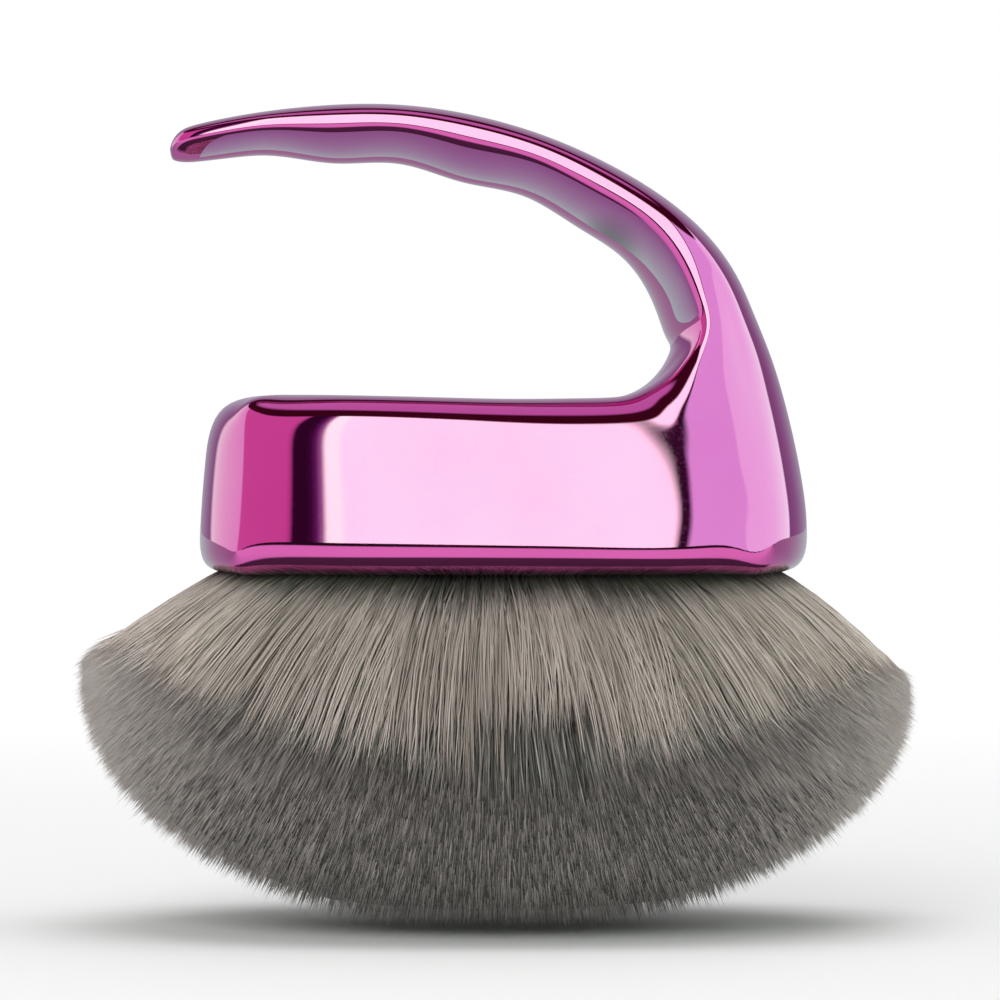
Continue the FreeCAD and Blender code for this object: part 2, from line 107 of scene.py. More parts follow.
def corner_centre():
    """The middle of a corner arc, which touches the end arc and the flank arc."""
    to_flank = FLANK_RADIUS - CORNER_RADIUS
    to_end = END_RADIUS - CORNER_RADIUS
    span = math.hypot(END_CENTRE, FLANK_CENTRE)
    along = (to_flank**2 - to_end**2 + span**2) / (2 * span)
    aside = math.sqrt(to_flank**2 - along**2)
    x = (END_CENTRE * along + FLANK_CENTRE * aside) / span
    y = (FLANK_CENTRE * along - END_CENTRE * aside) / span - FLANK_CENTRE
    return x, y


CORNER_X, CORNER_Y = corner_centre()
END_TURN = math.degrees(math.atan2(CORNER_Y, CORNER_X - END_CENTRE))
FLANK_TURN = math.degrees(math.atan2(CORNER_Y + FLANK_CENTRE, CORNER_X))
print("corner arcs turn from", round(END_TURN, 1), "to", round(FLANK_TURN, 1), "degrees")


# %% Points of the plan
def inset_at(z):
    """How far the wall has leaned in at a level."""
    return (z - RIM_LEVEL) * LEAN


def oval(turn, inset, end=1):
    """A point of the front half of the plan, turn degrees round from an end towards the front."""
    if turn < END_TURN:
        x, y, radius = END_CENTRE, 0.0, END_RADIUS
    elif turn < FLANK_TURN:
        x, y, radius = CORNER_X, CORNER_Y, CORNER_RADIUS
    else:
        x, y, radius = 0.0, -FLANK_CENTRE, FLANK_RADIUS
    angle = math.radians(turn)
    reach = radius - inset
    return end * (x + reach * math.cos(angle)), -(y + reach * math.sin(angle))


def half_depth(x, inset=0.0):
    """Half the depth of the plan at a place along it."""
    x = abs(x)
    flank = FLANK_RADIUS - inset
    if x < flank * math.cos(math.radians(FLANK_TURN)):
        return math.sqrt(flank**2 - x**2) - FLANK_CENTRE
    corner = CORNER_RADIUS - inset
    return CORNER_Y + math.sqrt(max(corner**2 - (x - CORNER_X) ** 2, 0.0))


def end_point(turn, z, end, inside=0.0):
    """A point on an end wall, or inside it."""
    x, y = oval(turn, inset_at(z) + inside, end)
    return (x, y, z)


print("half depth at the top", round(half_depth(0.0, inset_at(TOP_LEVEL)), 1), "mm")

# %% [markdown]
# The arm is drawn as a designer would: one line through its middle, made of three arcs that meet without a
# kink. The line starts at the tip, goes over the crown and ends at the shoulder, where the neck begins. A
# Bezier curve could give the line too, but arcs keep the pitch of the finger grooves even.

# %% The middle line of the arm
APEX_X, APEX_Z = -19.0, 98.8
TIP_ARC, TIP_SWEEP = 140.0, 7.8
CROWN_ARC, CROWN_SWEEP = 66.0, 32.0
SHOULDER_ARC, SHOULDER_SWEEP = 24.0, 42.0
TIP_LENGTH = TIP_ARC * math.radians(TIP_SWEEP)
ARM_LENGTH = TIP_LENGTH + CROWN_ARC * math.radians(CROWN_SWEEP)
HOOK_LENGTH = ARM_LENGTH + SHOULDER_ARC * math.radians(SHOULDER_SWEEP)


def middle_line(run):
    """Point on the arm's middle line, and the outward direction there, at a distance from the tip."""
    if run < TIP_LENGTH:
        angle, radius, x, z = (run - TIP_LENGTH) / TIP_ARC, TIP_ARC, APEX_X, APEX_Z - TIP_ARC
    else:
        angle = min(run - TIP_LENGTH, ARM_LENGTH - TIP_LENGTH) / CROWN_ARC
        radius, x, z = CROWN_ARC, APEX_X, APEX_Z - CROWN_ARC
    if run > ARM_LENGTH:
        x += math.sin(angle) * (CROWN_ARC - SHOULDER_ARC)
        z += math.cos(angle) * (CROWN_ARC - SHOULDER_ARC)
        angle += (run - ARM_LENGTH) / SHOULDER_ARC
        radius = SHOULDER_ARC
    out_x, out_z = math.sin(angle), math.cos(angle)
    return (x + out_x * radius, z + out_z * radius), (out_x, out_z)


print("arm", round(ARM_LENGTH, 1), "mm, with its shoulder", round(HOOK_LENGTH, 1), "mm")

# %% [markdown]
# On the real moulding the front of the base and the front of the neck are one sheet. So one function gives
# its depth everywhere: the oval of the base, which leans in more where it rises into the neck, and which
# follows the round back of the neck at the right end. Each change is a smooth step, because a mirror shows
# a kink that the eye would never see on a matt surface.

# %% The front face
NECK_RISE = (46.0, 88.0)
NECK_ALONG = (-16.0, 22.0)
NECK_LEAN = 6.5
BACK_ALONG = (20.0, 36.0)
BACK_RADIUS, BACK_LEVEL = 72.0, 48.0


def mix(first, last, share):
    """The value at a share of the way from first to last."""
    return first + (last - first) * share


def smooth_step(value, first, last):
    """0 up to first, 1 from last on, and a smooth S between them."""
    share = min(max((value - first) / (last - first), 0.0), 1.0)
    return share * share * (3 - 2 * share)


def back_shift(z):
    """How far the arc of the back stands from the leaning end wall at a level."""
    if z == RIM_LEVEL:
        return 0.0
    back = BASE_LENGTH / 2 - BACK_RADIUS + math.sqrt(BACK_RADIUS**2 - (z - BACK_LEVEL) ** 2)
    return back - oval(0.0, inset_at(z))[0]


def front_at(x, z):
    """Half the depth of the front face at a place on it."""
    place = x - back_shift(z) * smooth_step(x, *BACK_ALONG)
    lean = NECK_LEAN * smooth_step(z, *NECK_RISE) * smooth_step(x, *NECK_ALONG)
    return half_depth(place, inset_at(z)) - lean


print("front of the neck leans in by up to", NECK_LEAN, "mm")

# %% [markdown]
# The object is the same in front and behind, so only the front half of each ring is worked out. A half ring
# has 11 points: four over the inner side, from its middle to the front edge, three down the front, and four
# over the outer side. The two points next to an edge hold it: Subdivision Surface rounds an edge by a little
# more than half of the distance to them. A Bevel would give a rounding of the same width everywhere, and
# here it changes along the way.

# %% Rings of the base
TOP_SUPPORT = 7.0
RIM_SUPPORT = 6.4
END_SUPPORT = 10.3
MIDDLE_LEVEL = 54.2
FRONT_LEVELS = (TOP_LEVEL - TOP_SUPPORT, MIDDLE_LEVEL, RIM_LEVEL + RIM_SUPPORT)
TOP_DIP, DIP_X, DIP_REACH = 0.6, 2.0, 13.0
BASE_STATIONS = (-21.0, -10.0, 1.0, 9.0)
# Turns round an end, from its middle towards the front. The last is the line where the end wall stops.
END_COLUMNS = (0.0, 20.0, 36.0, 46.0)
NEXT_CORNER = 60.0


def top_at(x):
    """Level of the top of the base, which is a little hollow along its middle."""
    return TOP_LEVEL - TOP_DIP * math.exp(-(((x - DIP_X) / DIP_REACH) ** 2))


def base_ring(x):
    """A half ring square across the base."""
    level = top_at(x)
    top = front_at(x, level)
    rim = half_depth(x)
    ring = [(x, y, level) for y in (0, -top / 2, TOP_SUPPORT - top, -top)]
    ring += [(x, -front_at(x, z), z) for z in FRONT_LEVELS]
    return ring + [(x, y, RIM_LEVEL) for y in (-rim, RIM_SUPPORT - rim, -rim / 2, 0)]


def left_rings():
    """The half ring that bounds the closed end wall, and the one that holds its edges."""
    rings = []
    levels = (TOP_LEVEL, *FRONT_LEVELS, RIM_LEVEL)
    for corner, support in ((END_COLUMNS[-1], 0.0), (NEXT_CORNER, 1.0)):
        top = [end_point(turn, TOP_LEVEL, -1, support * END_SUPPORT) for turn in END_COLUMNS[:-1]]
        rim = [end_point(turn, RIM_LEVEL, -1, support * RIM_SUPPORT) for turn in END_COLUMNS[:-1]]
        rings.append(top + [end_point(corner, z, -1) for z in levels] + rim[::-1])
    return rings


half_rings = left_rings() + [base_ring(x) for x in BASE_STATIONS]
print("rings of the base", len(half_rings))

# %% [markdown]
# At the right end the rings turn like the spokes of a wheel about the finger loop, the round opening between
# the base and the arm. Their inner points go up the inside of the loop, and their outer points go along the
# underside, round the rim and up the back. That is how the flat front can change from the tall wall of the
# base to the narrow strip of the arm without a break.

# %% Rings of the neck
PIVOT_X, PIVOT_Z, LOOP_RADIUS = 13.0, 74.3, 8.6
FRONT_SHARES = (0.25, 0.5, 0.75)
QUARTER_TURNS = (30.0, 62.0)
FLAT_REACH = 4.0
END_FULLNESS, FULL_LEVELS = 0.8, (48.0, 66.0)


def loop_point(degrees, reach=0.0):
    """A point on the inside corner of the finger loop, or outside it by reach."""
    angle = math.radians(degrees)
    radius = LOOP_RADIUS + reach
    return (PIVOT_X + radius * math.cos(angle), PIVOT_Z + radius * math.sin(angle))


def back_row(z):
    """Points round the right end at a level, from the corner line to the back."""
    row = []
    corner = -end_point(END_COLUMNS[-1], z, 1)[1]
    narrow = 1 - NECK_LEAN * smooth_step(z, *NECK_RISE) / corner
    for turn in END_COLUMNS[::-1]:
        x, y, _ = end_point(turn, z, 1)
        to_back = math.cos(math.radians(90 * turn / END_COLUMNS[-1]))
        fuller = END_FULLNESS * to_back * (1 - smooth_step(z, *FULL_LEVELS))
        row.append((x + back_shift(z) + fuller, y * narrow, z))
    return row


def turn_ring(degrees, edge_reach, outer):
    """A half ring about the finger loop. Its outer points are given, from the corner line to the middle."""
    x, z = loop_point(degrees)
    edge_x, edge_z = loop_point(degrees, edge_reach)
    edge_half = front_at(edge_x, edge_z)
    flat = 1 - smooth_step(edge_reach, 0.0, FLAT_REACH)
    ring = [(x, 0.0, z)]
    for turn, straight in zip(QUARTER_TURNS[::-1], (edge_half / 2, edge_half - TOP_SUPPORT)):
        share = 1 - math.sin(math.radians(turn))
        across = mix(edge_half * math.cos(math.radians(turn)), straight, flat)
        ring.append((mix(x, edge_x, share), -across, mix(z, edge_z, share)))
    ring.append((edge_x, -edge_half, edge_z))
    for share in FRONT_SHARES:
        front_x, front_z = mix(edge_x, outer[0][0], share), mix(edge_z, outer[0][2], share)
        ring.append((front_x, -front_at(front_x, front_z), front_z))
    return ring + list(outer)


print("finger loop", 2 * LOOP_RADIUS, "mm across at its corner")

# %% Place the rings of the neck
# Angle about the finger loop, distance from the loop to the front edge, and the level at the back.
NECK_TURNS = (
    (-58.0, 0.2, RIM_LEVEL),
    (-50.0, 0.4, RIM_LEVEL + RIM_SUPPORT),
    (-40.0, 0.8, 54.0),
    (-30.0, 1.3, 60.0),
    (-21.0, 1.8, 65.5),
    (-13.0, 2.7, 71.0),
)
# The same for two rings that still end on the underside, and where along the base the first of them ends.
UNDER_RINGS = ((-81.0, 0.0), (-68.0, 0.1))
UNDER_X, UNDER_BULGE = 22.0, (0.0, 0.0, 1.0, 2.0)


def right_rings():
    """From the underside, round the rim and up the back of the neck."""
    depth = half_depth(UNDER_X)
    across = (-depth, RIM_SUPPORT - depth, -depth / 2, 0)
    first = [(UNDER_X + bulge, y, RIM_LEVEL) for bulge, y in zip(UNDER_BULGE, across)]
    second = [end_point(NEXT_CORNER, RIM_LEVEL, 1)]
    second += [end_point(turn, RIM_LEVEL, 1, RIM_SUPPORT) for turn in END_COLUMNS[-2::-1]]
    rings = [turn_ring(*place, outer) for place, outer in zip(UNDER_RINGS, (first, second))]
    return rings + [turn_ring(angle, reach, back_row(level)) for angle, reach, level in NECK_TURNS]


half_rings += right_rings()
print("rings with the neck", len(half_rings))

# %% [markdown]
# The arm has a section like a flat loaf: a low, rounded underside for the fingers, a narrow strip at the
# front, and a full, round outer side. It grows from the tip to the shoulder. Three hollows in the underside
# are the finger grooves. They could be cut with a Boolean, but its sharp edges would need rounding again, so
# here the underside simply rises in a wave.

# %% The section of the arm
UNDER_TURNS, UNDER_FLATNESS = (15.0, 52.0), 0.4
OUTER_TURNS = (18.0, 52.0)
STRIP_CROWN, STRIP_LEAN_POWER = 0.012, 1.5


def section(inner, outer, half, inner_share, outer_share, lean):
    """A half ring between two points of the plane of the hook, with the front strip between two shares."""

    def at(share, y):
        return (mix(inner[0], outer[0], share), -y, mix(inner[1], outer[1], share))

    def strip(share):
        return half * (1 + STRIP_CROWN * math.sin(math.pi * share) - lean * share**STRIP_LEAN_POWER)

    ring = [at(0.0, 0.0)]
    for turn in UNDER_TURNS[::-1]:
        angle, straight = math.radians(turn), turn / 90
        rise = mix(math.sin(angle), straight, UNDER_FLATNESS)
        across = mix(math.cos(angle), 1 - straight, UNDER_FLATNESS)
        ring.append(at(inner_share * (1 - rise), half * across))
    ring.append(at(inner_share, half))
    for share in FRONT_SHARES:
        ring.append(at(mix(inner_share, outer_share, share), strip(share)))
    ring.append(at(outer_share, strip(1.0)))
    for turn in OUTER_TURNS:
        angle = math.radians(turn)
        ring.append(at(mix(outer_share, 1.0, math.sin(angle)), strip(1.0) * math.cos(angle)))
    ring.append(at(1.0, 0.0))
    return ring


print("points in half a section", len(section((0, 0), (0, 1), 1, 0.5, 0.8, 0.0)))

# %% Rings of the arm
TIP_THICKNESS, ARM_THICKNESS, NECK_THICKNESS = 5.0, 8.8, 11.4
TIP_WIDTH, ARM_WIDTH, NECK_WIDTH = 8.6, 14.6, 25.0
TIP_SWELL = 3
TAPER_START = 36.0
UNDER_FULLNESS = 0.8
GROOVES, GROOVE_PITCH, GROOVE_DEPTH = 3, 17.2, 1.1
INNER_EDGE, OUTER_EDGE = 0.61, 0.80
NECK_INNER_EDGE, NECK_OUTER_EDGE = 0.46, 0.74
STRIP_LEAN, NECK_STRIP_LEAN, NECK_STRIP_POWER = 0.03, 0.15, 3
TIP_SINK = 0.22


def groove_at(run):
    """How far the underside is hollowed at a distance from the tip."""
    if 0 < run < GROOVES * GROOVE_PITCH:
        return GROOVE_DEPTH * (0.5 - 0.5 * math.cos(2 * math.pi * run / GROOVE_PITCH))
    return 0.0


def arm_ring(run, shrink=1.0, ahead=0.0):
    """A half ring across the arm. At the tip it shrinks towards the underside and moves ahead."""
    (x, z), (out_x, out_z) = middle_line(run)
    share = 1 - (1 - min(run / ARM_LENGTH, 1.0)) ** TIP_SWELL
    bend = smooth_step(run, ARM_LENGTH, HOOK_LENGTH)
    thickness = mix(mix(TIP_THICKNESS, ARM_THICKNESS, share), NECK_THICKNESS, bend)
    taper = smooth_step(run, TAPER_START, HOOK_LENGTH)
    width = mix(mix(TIP_WIDTH, ARM_WIDTH, share), NECK_WIDTH, taper)
    sink = TIP_SINK * thickness * (1 - shrink)
    x, z = x - out_z * ahead - out_x * sink, z + out_x * ahead - out_z * sink
    half = thickness / 2 * shrink
    under = half - groove_at(run) + UNDER_FULLNESS * shrink * share
    inner = (x - out_x * under, z - out_z * under)
    outer = (x + out_x * half, z + out_z * half)
    edges = (mix(INNER_EDGE, NECK_INNER_EDGE, bend), mix(OUTER_EDGE, NECK_OUTER_EDGE, bend))
    lean = mix(STRIP_LEAN, NECK_STRIP_LEAN, bend**NECK_STRIP_POWER)
    return section(inner, outer, width / 2 * shrink, *edges, lean)


print("finger grooves", GROOVES, "of", GROOVE_PITCH, "mm")

# %% Place the rings of the arm
STEPS_PER_GROOVE = 4
SHOULDER_STEPS = 6
TIP_TURNS = (28, 52, 72)
TIP_CAP = 3.4


def arm_rings():
    """From the shoulder to the rounded tip."""
    groove_end = GROOVES * GROOVE_PITCH
    steps = GROOVES * STEPS_PER_GROOVE
    runs = [mix(HOOK_LENGTH, groove_end, step / SHOULDER_STEPS) for step in range(SHOULDER_STEPS)]
    runs += [mix(groove_end, 0.0, step / steps) for step in range(steps + 1)]
    rings = [arm_ring(run) for run in runs]
    for turn in TIP_TURNS:
        angle = math.radians(turn)
        rings.append(arm_ring(0.0, math.cos(angle), TIP_CAP * math.sin(angle)))
    return rings


half_rings += arm_rings()
print(len(half_rings), "rings of", 2 * len(half_rings[0]) - 2, "points")

# %% [markdown]
# The rings are skinned as by hand: one circle is extruded from ring to ring, and each new loop is put in its
# place. A number on every point, which Extrude copies, says where in its ring the point belongs. At the end
# of the hook the last loop is merged to a point.

# %% Skin the rings
START_RADIUS = 0.02


def start_loop(name, count, fill="NOTHING"):
    """A circle in edit mode whose points are numbered."""
    bpy.ops.mesh.primitive_circle_add(vertices=count, radius=START_RADIUS, fill_type=fill)
    piece = bpy.context.object
    piece.name = piece.data.name = name
    bpy.ops.object.mode_set(mode="EDIT")
    cage = bmesh.from_edit_mesh(piece.data)
    place = cage.verts.layers.int.new("place")
    for number, vert in enumerate(cage.verts):
        vert[place] = number
    return piece


def put_loop(piece, ring):
    """Moves the selected loop of points to the points of a ring, in millimetres."""
    cage = bmesh.from_edit_mesh(piece.data)
    place = cage.verts.layers.int["place"]
    for vert in cage.verts:
        if vert.select:
            vert.co = Vector(ring[vert[place]]) * MM
    bmesh.update_edit_mesh(piece.data)


def whole_ring(half):
    """A closed ring from its front half."""
    return list(half) + [(x, -y, z) for x, y, z in half[-2:0:-1]]


rings = [whole_ring(half) for half in half_rings]
handle = start_loop("handle_skin", len(rings[0]))
put_loop(handle, rings[0])
for ring in rings[1:]:
    bpy.ops.mesh.extrude_region_move()
    put_loop(handle, ring)
bpy.ops.mesh.extrude_region_move()
bpy.ops.mesh.merge(type="CENTER")
print("cage", len(bmesh.from_edit_mesh(handle.data).faces), "faces")

# %% [markdown]
# The first loop is still open: it is the outline of the left end wall. One large face there would pinch when
# it is subdivided, and so would a fan of triangles. Grid Fill gives even squares instead. It starts from the
# active point, so a corner of the wall is made active first. Then its points are moved onto the round wall.

# %% Close the left end
CORNER_POINT = 17
GRID_SPAN = 6


def end_wall_x(y, z):
    """The left end wall at a place across it."""
    inset = inset_at(z)
    if abs(y) < (END_RADIUS - inset) * math.sin(math.radians(END_TURN)):
        return -END_CENTRE - math.sqrt((END_RADIUS - inset) ** 2 - y**2)
    return -CORNER_X - math.sqrt((CORNER_RADIUS - inset) ** 2 - (abs(y) - CORNER_Y) ** 2)


cage = bmesh.from_edit_mesh(handle.data)
for vert in cage.verts:
    vert.select = False
cage.verts.ensure_lookup_table()
first_loop = [cage.verts[number] for number in range(len(rings[0]))]
for vert in first_loop:
    vert.select = True
cage.select_flush(True)
cage.select_history.clear()
cage.select_history.add(first_loop[CORNER_POINT])
bmesh.update_edit_mesh(handle.data)
bpy.ops.mesh.fill_grid(span=GRID_SPAN, offset=0, use_interp_simple=True)
cage = bmesh.from_edit_mesh(handle.data)
inside = [vert for vert in cage.verts if vert.select and vert.index >= len(rings[0]) * len(rings)]
print("points inside the end wall", len(inside))

# %% Round the left end
TOP_ROW = FRONT_LEVELS[0] - 1
corner_line = end_point(END_COLUMNS[-1], FRONT_LEVELS[0], -1)[1]
for vert in inside:
    y, z = vert.co.y / MM, vert.co.z / MM
    if z > TOP_ROW:
        z -= (END_SUPPORT - TOP_SUPPORT) * (1 - (y / corner_line) ** 2)
    vert.co.x, vert.co.z = end_wall_x(y, z) * MM, z * MM
bmesh.update_edit_mesh(handle.data)
bpy.ops.mesh.select_all(action="SELECT")
bpy.ops.mesh.normals_make_consistent(inside=False)
bpy.ops.object.mode_set(mode="OBJECT")
print("closed cage", len(handle.data.polygons), "faces")

# %% Smooth the skin
SKIN_LEVELS = 3
skin = handle.modifiers.new("skin", "SUBSURF")
skin.levels = skin.render_levels = SKIN_LEVELS
bpy.ops.object.modifier_apply(modifier=skin.name)
handle.select_set(False)
print("handle skin", len(handle.data.polygons), "faces")

# %% [markdown]
# The base of the real handle is a shell: the cup with the bristles sits in it. The cavity has the plan of the
# base, smaller by the wall. It is made as an oval plug that starts a little below the rim, so that no two
# faces lie in one plane, and a Boolean takes it away from the skin.

# %% The plug of the cavity
WALL = 3.4
ROOF_LEVEL = 63.0
BELOW_RIM = 1.0
CAVITY_POINTS = 96


def oval_ring(z, inside):
    """The whole plan at a level, inside the wall."""
    ring = []
    for number in range(CAVITY_POINTS):
        turn = 360 * number / CAVITY_POINTS
        end = 1 if turn < 90 or turn >= 270 else -1
        from_end = min(turn % 180, 180 - turn % 180)
        x, y = oval(from_end, inside + inset_at(z), end)
        ring.append((x, y if turn < 180 else -y, z))
    return ring


cavity = start_loop("cavity", CAVITY_POINTS, "NGON")
put_loop(cavity, oval_ring(RIM_LEVEL - BELOW_RIM, WALL))
bpy.ops.mesh.extrude_region_move()
put_loop(cavity, oval_ring(ROOF_LEVEL, WALL))
bpy.ops.mesh.select_all(action="SELECT")
bpy.ops.mesh.normals_make_consistent(inside=False)
bpy.ops.object.mode_set(mode="OBJECT")
cavity.select_set(False)
print("plug of the cavity", len(cavity.data.polygons), "faces")

# %% Hollow the base
SMOOTH_ANGLE = math.radians(35)
handle.select_set(True)
bpy.context.view_layer.objects.active = handle
hollow = handle.modifiers.new("hollow", "BOOLEAN")
hollow.operation = "DIFFERENCE"
hollow.solver = "EXACT"
hollow.object = cavity
bpy.ops.object.modifier_apply(modifier=hollow.name)
bpy.data.objects.remove(cavity)
bpy.ops.object.shade_smooth_by_angle(angle=SMOOTH_ANGLE)
handle.select_set(False)
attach(handle, "root")
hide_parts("handle")
print("hollow handle", len(handle.data.polygons), "faces")

# %% [markdown]
# ## The plated finish
# The moulding is coated with bright metal and then with a tinted clear lacquer. The metal takes the tint, so
# it is a metal with a magenta colour, and the lacquer is a coat that adds white at flat angles. Moulded skins
# are never quite flat, so a very low, wide bump lets the reflections wander, and fine specks of dust take a
# little of the gloss. A picture of a reflection would be easier, but it would not move with the eye.

# %% Helpers for materials
def new_material(name):
    """A material, its node tree and its Principled BSDF."""
    material = bpy.data.materials.new(name)
    material.use_nodes = True
    return material, material.node_tree, material.node_tree.nodes["Principled BSDF"]


def noise(tree, scale, detail=2.0):
    """A cloud pattern on the piece, of a size given by its scale per metre."""
    places = tree.nodes.new("ShaderNodeTexCoord")
    cloud = tree.nodes.new("ShaderNodeTexNoise")
    cloud.inputs["Scale"].default_value = scale
    cloud.inputs["Detail"].default_value = detail
    tree.links.new(places.outputs["Object"], cloud.inputs["Vector"])
    return cloud.outputs["Fac"]


def ramp(tree, value, stops):
    """A colour ramp of (place, colour) stops."""
    band = tree.nodes.new("ShaderNodeValToRGB")
    while len(band.color_ramp.elements) < len(stops):
        band.color_ramp.elements.new(0.5)
    for element, (place, colour) in zip(band.color_ramp.elements, stops):
        element.position = place
        element.color = (*colour, 1)
    tree.links.new(value, band.inputs["Fac"])
    return band.outputs["Color"]


def add_bump(tree, shader, height, strength, distance):
    """A bump on a shader, from a height between 0 and 1."""
    bump = tree.nodes.new("ShaderNodeBump")
    bump.inputs["Strength"].default_value = strength
    bump.inputs["Distance"].default_value = distance
    tree.links.new(height, bump.inputs["Height"])
    tree.links.new(bump.outputs["Normal"], shader.inputs["Normal"])


print("materials before this step", len(bpy.data.materials))

# %% Plated finish
TINT_SCALE, TINT = 45.0, [(0.3, (0.58, 0.052, 0.345)), (0.7, (0.62, 0.066, 0.375))]
DUST_SCALE, DUST_DETAIL = 2600.0, 3.0
DUST_GLOSS = [(0.5, (0.03, 0.03, 0.03)), (0.78, (0.08, 0.08, 0.08))]
WAVE_SCALE, WAVE_DETAIL, WAVE_STRENGTH, WAVE_HEIGHT = 70.0, 1.0, 0.05, 0.0006

plate, tree, shader = new_material("plated_magenta")
shader.inputs["Metallic"].default_value = 1.0
shader.inputs["Coat Weight"].default_value = 1.0
shader.inputs["Coat IOR"].default_value = 1.6
shader.inputs["Coat Roughness"].default_value = 0.03
tree.links.new(ramp(tree, noise(tree, TINT_SCALE), TINT), shader.inputs["Base Color"])
dust = noise(tree, DUST_SCALE, DUST_DETAIL)
tree.links.new(ramp(tree, dust, DUST_GLOSS), shader.inputs["Roughness"])
add_bump(tree, shader, noise(tree, WAVE_SCALE, WAVE_DETAIL), WAVE_STRENGTH, WAVE_HEIGHT)
handle.data.materials.clear()
handle.data.materials.append(plate)
print("plated finish on", handle.name)

# %% [markdown]
# ## The bristles
# The tuft is thousands of synthetic fibres potted in an oval cup. They fan out below the rim, droop, and are
# trimmed to a dome. Particle hair would look right in a picture but isn't a mesh, so every fibre here is a
# thin three-sided spike. Thousands of them go into each piece, which is one mesh, because that many separate
# objects would be slow. The numbers come from one seeded generator, so every run grows the same tuft.
#
# All fibres share one plan. A place in a unit disc gives a root in the mouth of the cup and a direction, and
# a fibre ends where it meets the dome, which is part of an ellipsoid.

# %% Roots and directions
rng = np.random.default_rng(20)
ROOT_HALF = np.array([31.6, 16.4])
ROOT_LEVEL = 45.9
CORNER_POWER = 3
NEARLY_ZERO = 1e-6
FAN_ANGLES = (58.5, 29.5)
SPREAD = np.array([math.tan(math.radians(angle)) for angle in FAN_ANGLES])
ACROSS_POWER = 0.95


def disc(turn, radius):
    """Places in a unit disc."""
    return np.stack([radius * np.cos(turn), radius * np.sin(turn)], axis=-1)


def roots_at(place):
    """Roots in the mouth of the cup. The disc is filled out towards its corners, as the oval is."""
    radius = np.maximum(np.linalg.norm(place, axis=1, keepdims=True), NEARLY_ZERO)
    powers = (np.abs(place / radius) ** CORNER_POWER).sum(1, keepdims=True)
    corner = powers ** (-1 / CORNER_POWER)
    spread = place * (1 + (corner - 1) * radius)
    return np.concatenate([spread * ROOT_HALF, np.full((len(place), 1), ROOT_LEVEL)], axis=1)


def fan(place, along=1.0):
    """Direction of fibres, down and outwards, for each millimetre that they drop."""
    lean = np.sign(place) * np.abs(place) ** np.array([along, ACROSS_POWER]) * SPREAD
    return np.concatenate([lean, -np.ones((len(place), 1))], axis=1)


print("fibres lean up to", FAN_ANGLES[0], "degrees along the brush and", FAN_ANGLES[1], "across it")

# %% The dome and the sag
DOME_HALF = np.array([52.4, 34.8, 31.4])
DOME_MIDDLE = 30.0
GROUND = 0.25
RIGHT_SAG, RIGHT_NARROWING = 2.6, 0.022
SAG_FROM, SAG_REACH = 6, 22


def dome_drop(root, way):
    """How far each fibre drops before it meets the dome."""
    start = (root - [0, 0, DOME_MIDDLE]) / DOME_HALF
    step = way / DOME_HALF
    a = (step**2).sum(1)
    b = (start * step).sum(1)
    c = (start**2).sum(1) - 1
    drop = (-b + np.sqrt(np.maximum(b * b - a * c, 0))) / a
    return np.minimum(drop, root[:, 2] - GROUND)


def sag(lines, place, share):
    """Draws in and lowers the right side of the tuft, which hangs a little more than the left."""
    right = np.maximum(place[:, :1], 0) * share**2
    lines[..., 0] *= 1 - RIGHT_NARROWING * right
    lines[..., 2] -= RIGHT_SAG * right * np.clip((lines[..., 2] - SAG_FROM) / SAG_REACH, 0, 1)
    lines[..., 2] = np.maximum(lines[..., 2], GROUND)
    return lines


print("the right side hangs", RIGHT_SAG, "mm lower")

# %% [markdown]
# A fibre is a row of small triangles along a line, joined by flat sides, with a point at its tip and a cap at
# its root, so it is closed. Its colour changes in two ways: along its length, from the dark root, partly
# painted shade, to the pale tip, and from fibre to fibre. Both are in the piece's own UV map. V runs along
# the fibre, and
# U picks one of 64 tones. Operators would need minutes for so many spikes, so the arrays of the mesh are
# filled directly.

# %% Faces of a fibre
SIDES = 3
ROOT_CAP_V = 0.01


def fibre_faces(stops):
    """Faces of one fibre as corner numbers, and the U and V of each corner. The last corner is the tip."""
    rings = stops - 1
    faces, places = [], []
    for ring in range(rings - 1):
        low, high = ring / rings, (ring + 1) / rings
        for side in range(SIDES):
            a, b = ring * SIDES + side, ring * SIDES + (side + 1) % SIDES
            faces.append((a, b, b + SIDES, a + SIDES))
            places.append(((0, low), (1, low), (1, high), (0, high)))
    for side in range(SIDES):
        a, b = (rings - 1) * SIDES + side, (rings - 1) * SIDES + (side + 1) % SIDES
        faces.append((a, b, rings * SIDES))
        places.append(((0, 1 - 1 / rings), (1, 1 - 1 / rings), (0.5, 1)))
    faces.append(tuple(range(SIDES))[::-1])
    places.append(((0, 0), (1, 0), (0.5, ROOT_CAP_V)))
    return faces, places


for stops in (3, 8):
    print("a fibre of", stops, "stops has", len(fibre_faces(stops)[0]), "faces")

# %% Fibres as one mesh
TONES = 64
TONE_MARGIN = 0.1
BELOW_ONE = 0.001


def fibre_corners(lines, radius):
    """Corners of every fibre: a triangle square to the line at each stop, and the tip."""
    count = len(lines)
    along = np.gradient(lines, axis=1)
    along /= np.linalg.norm(along, axis=2, keepdims=True)
    side = np.cross(along, rng.normal(size=(count, 1, 3)))
    side /= np.linalg.norm(side, axis=2, keepdims=True)
    other = np.cross(along, side)
    turns = 2 * math.pi * np.arange(SIDES)[:, None] / SIDES
    spokes = np.cos(turns) * side[:, :-1, None, :] + np.sin(turns) * other[:, :-1, None, :]
    rings = lines[:, :-1, None, :] + radius[None, :-1, None, None] * spokes
    return np.concatenate([rings.reshape(count, -1, 3), lines[:, -1:, :]], axis=1)


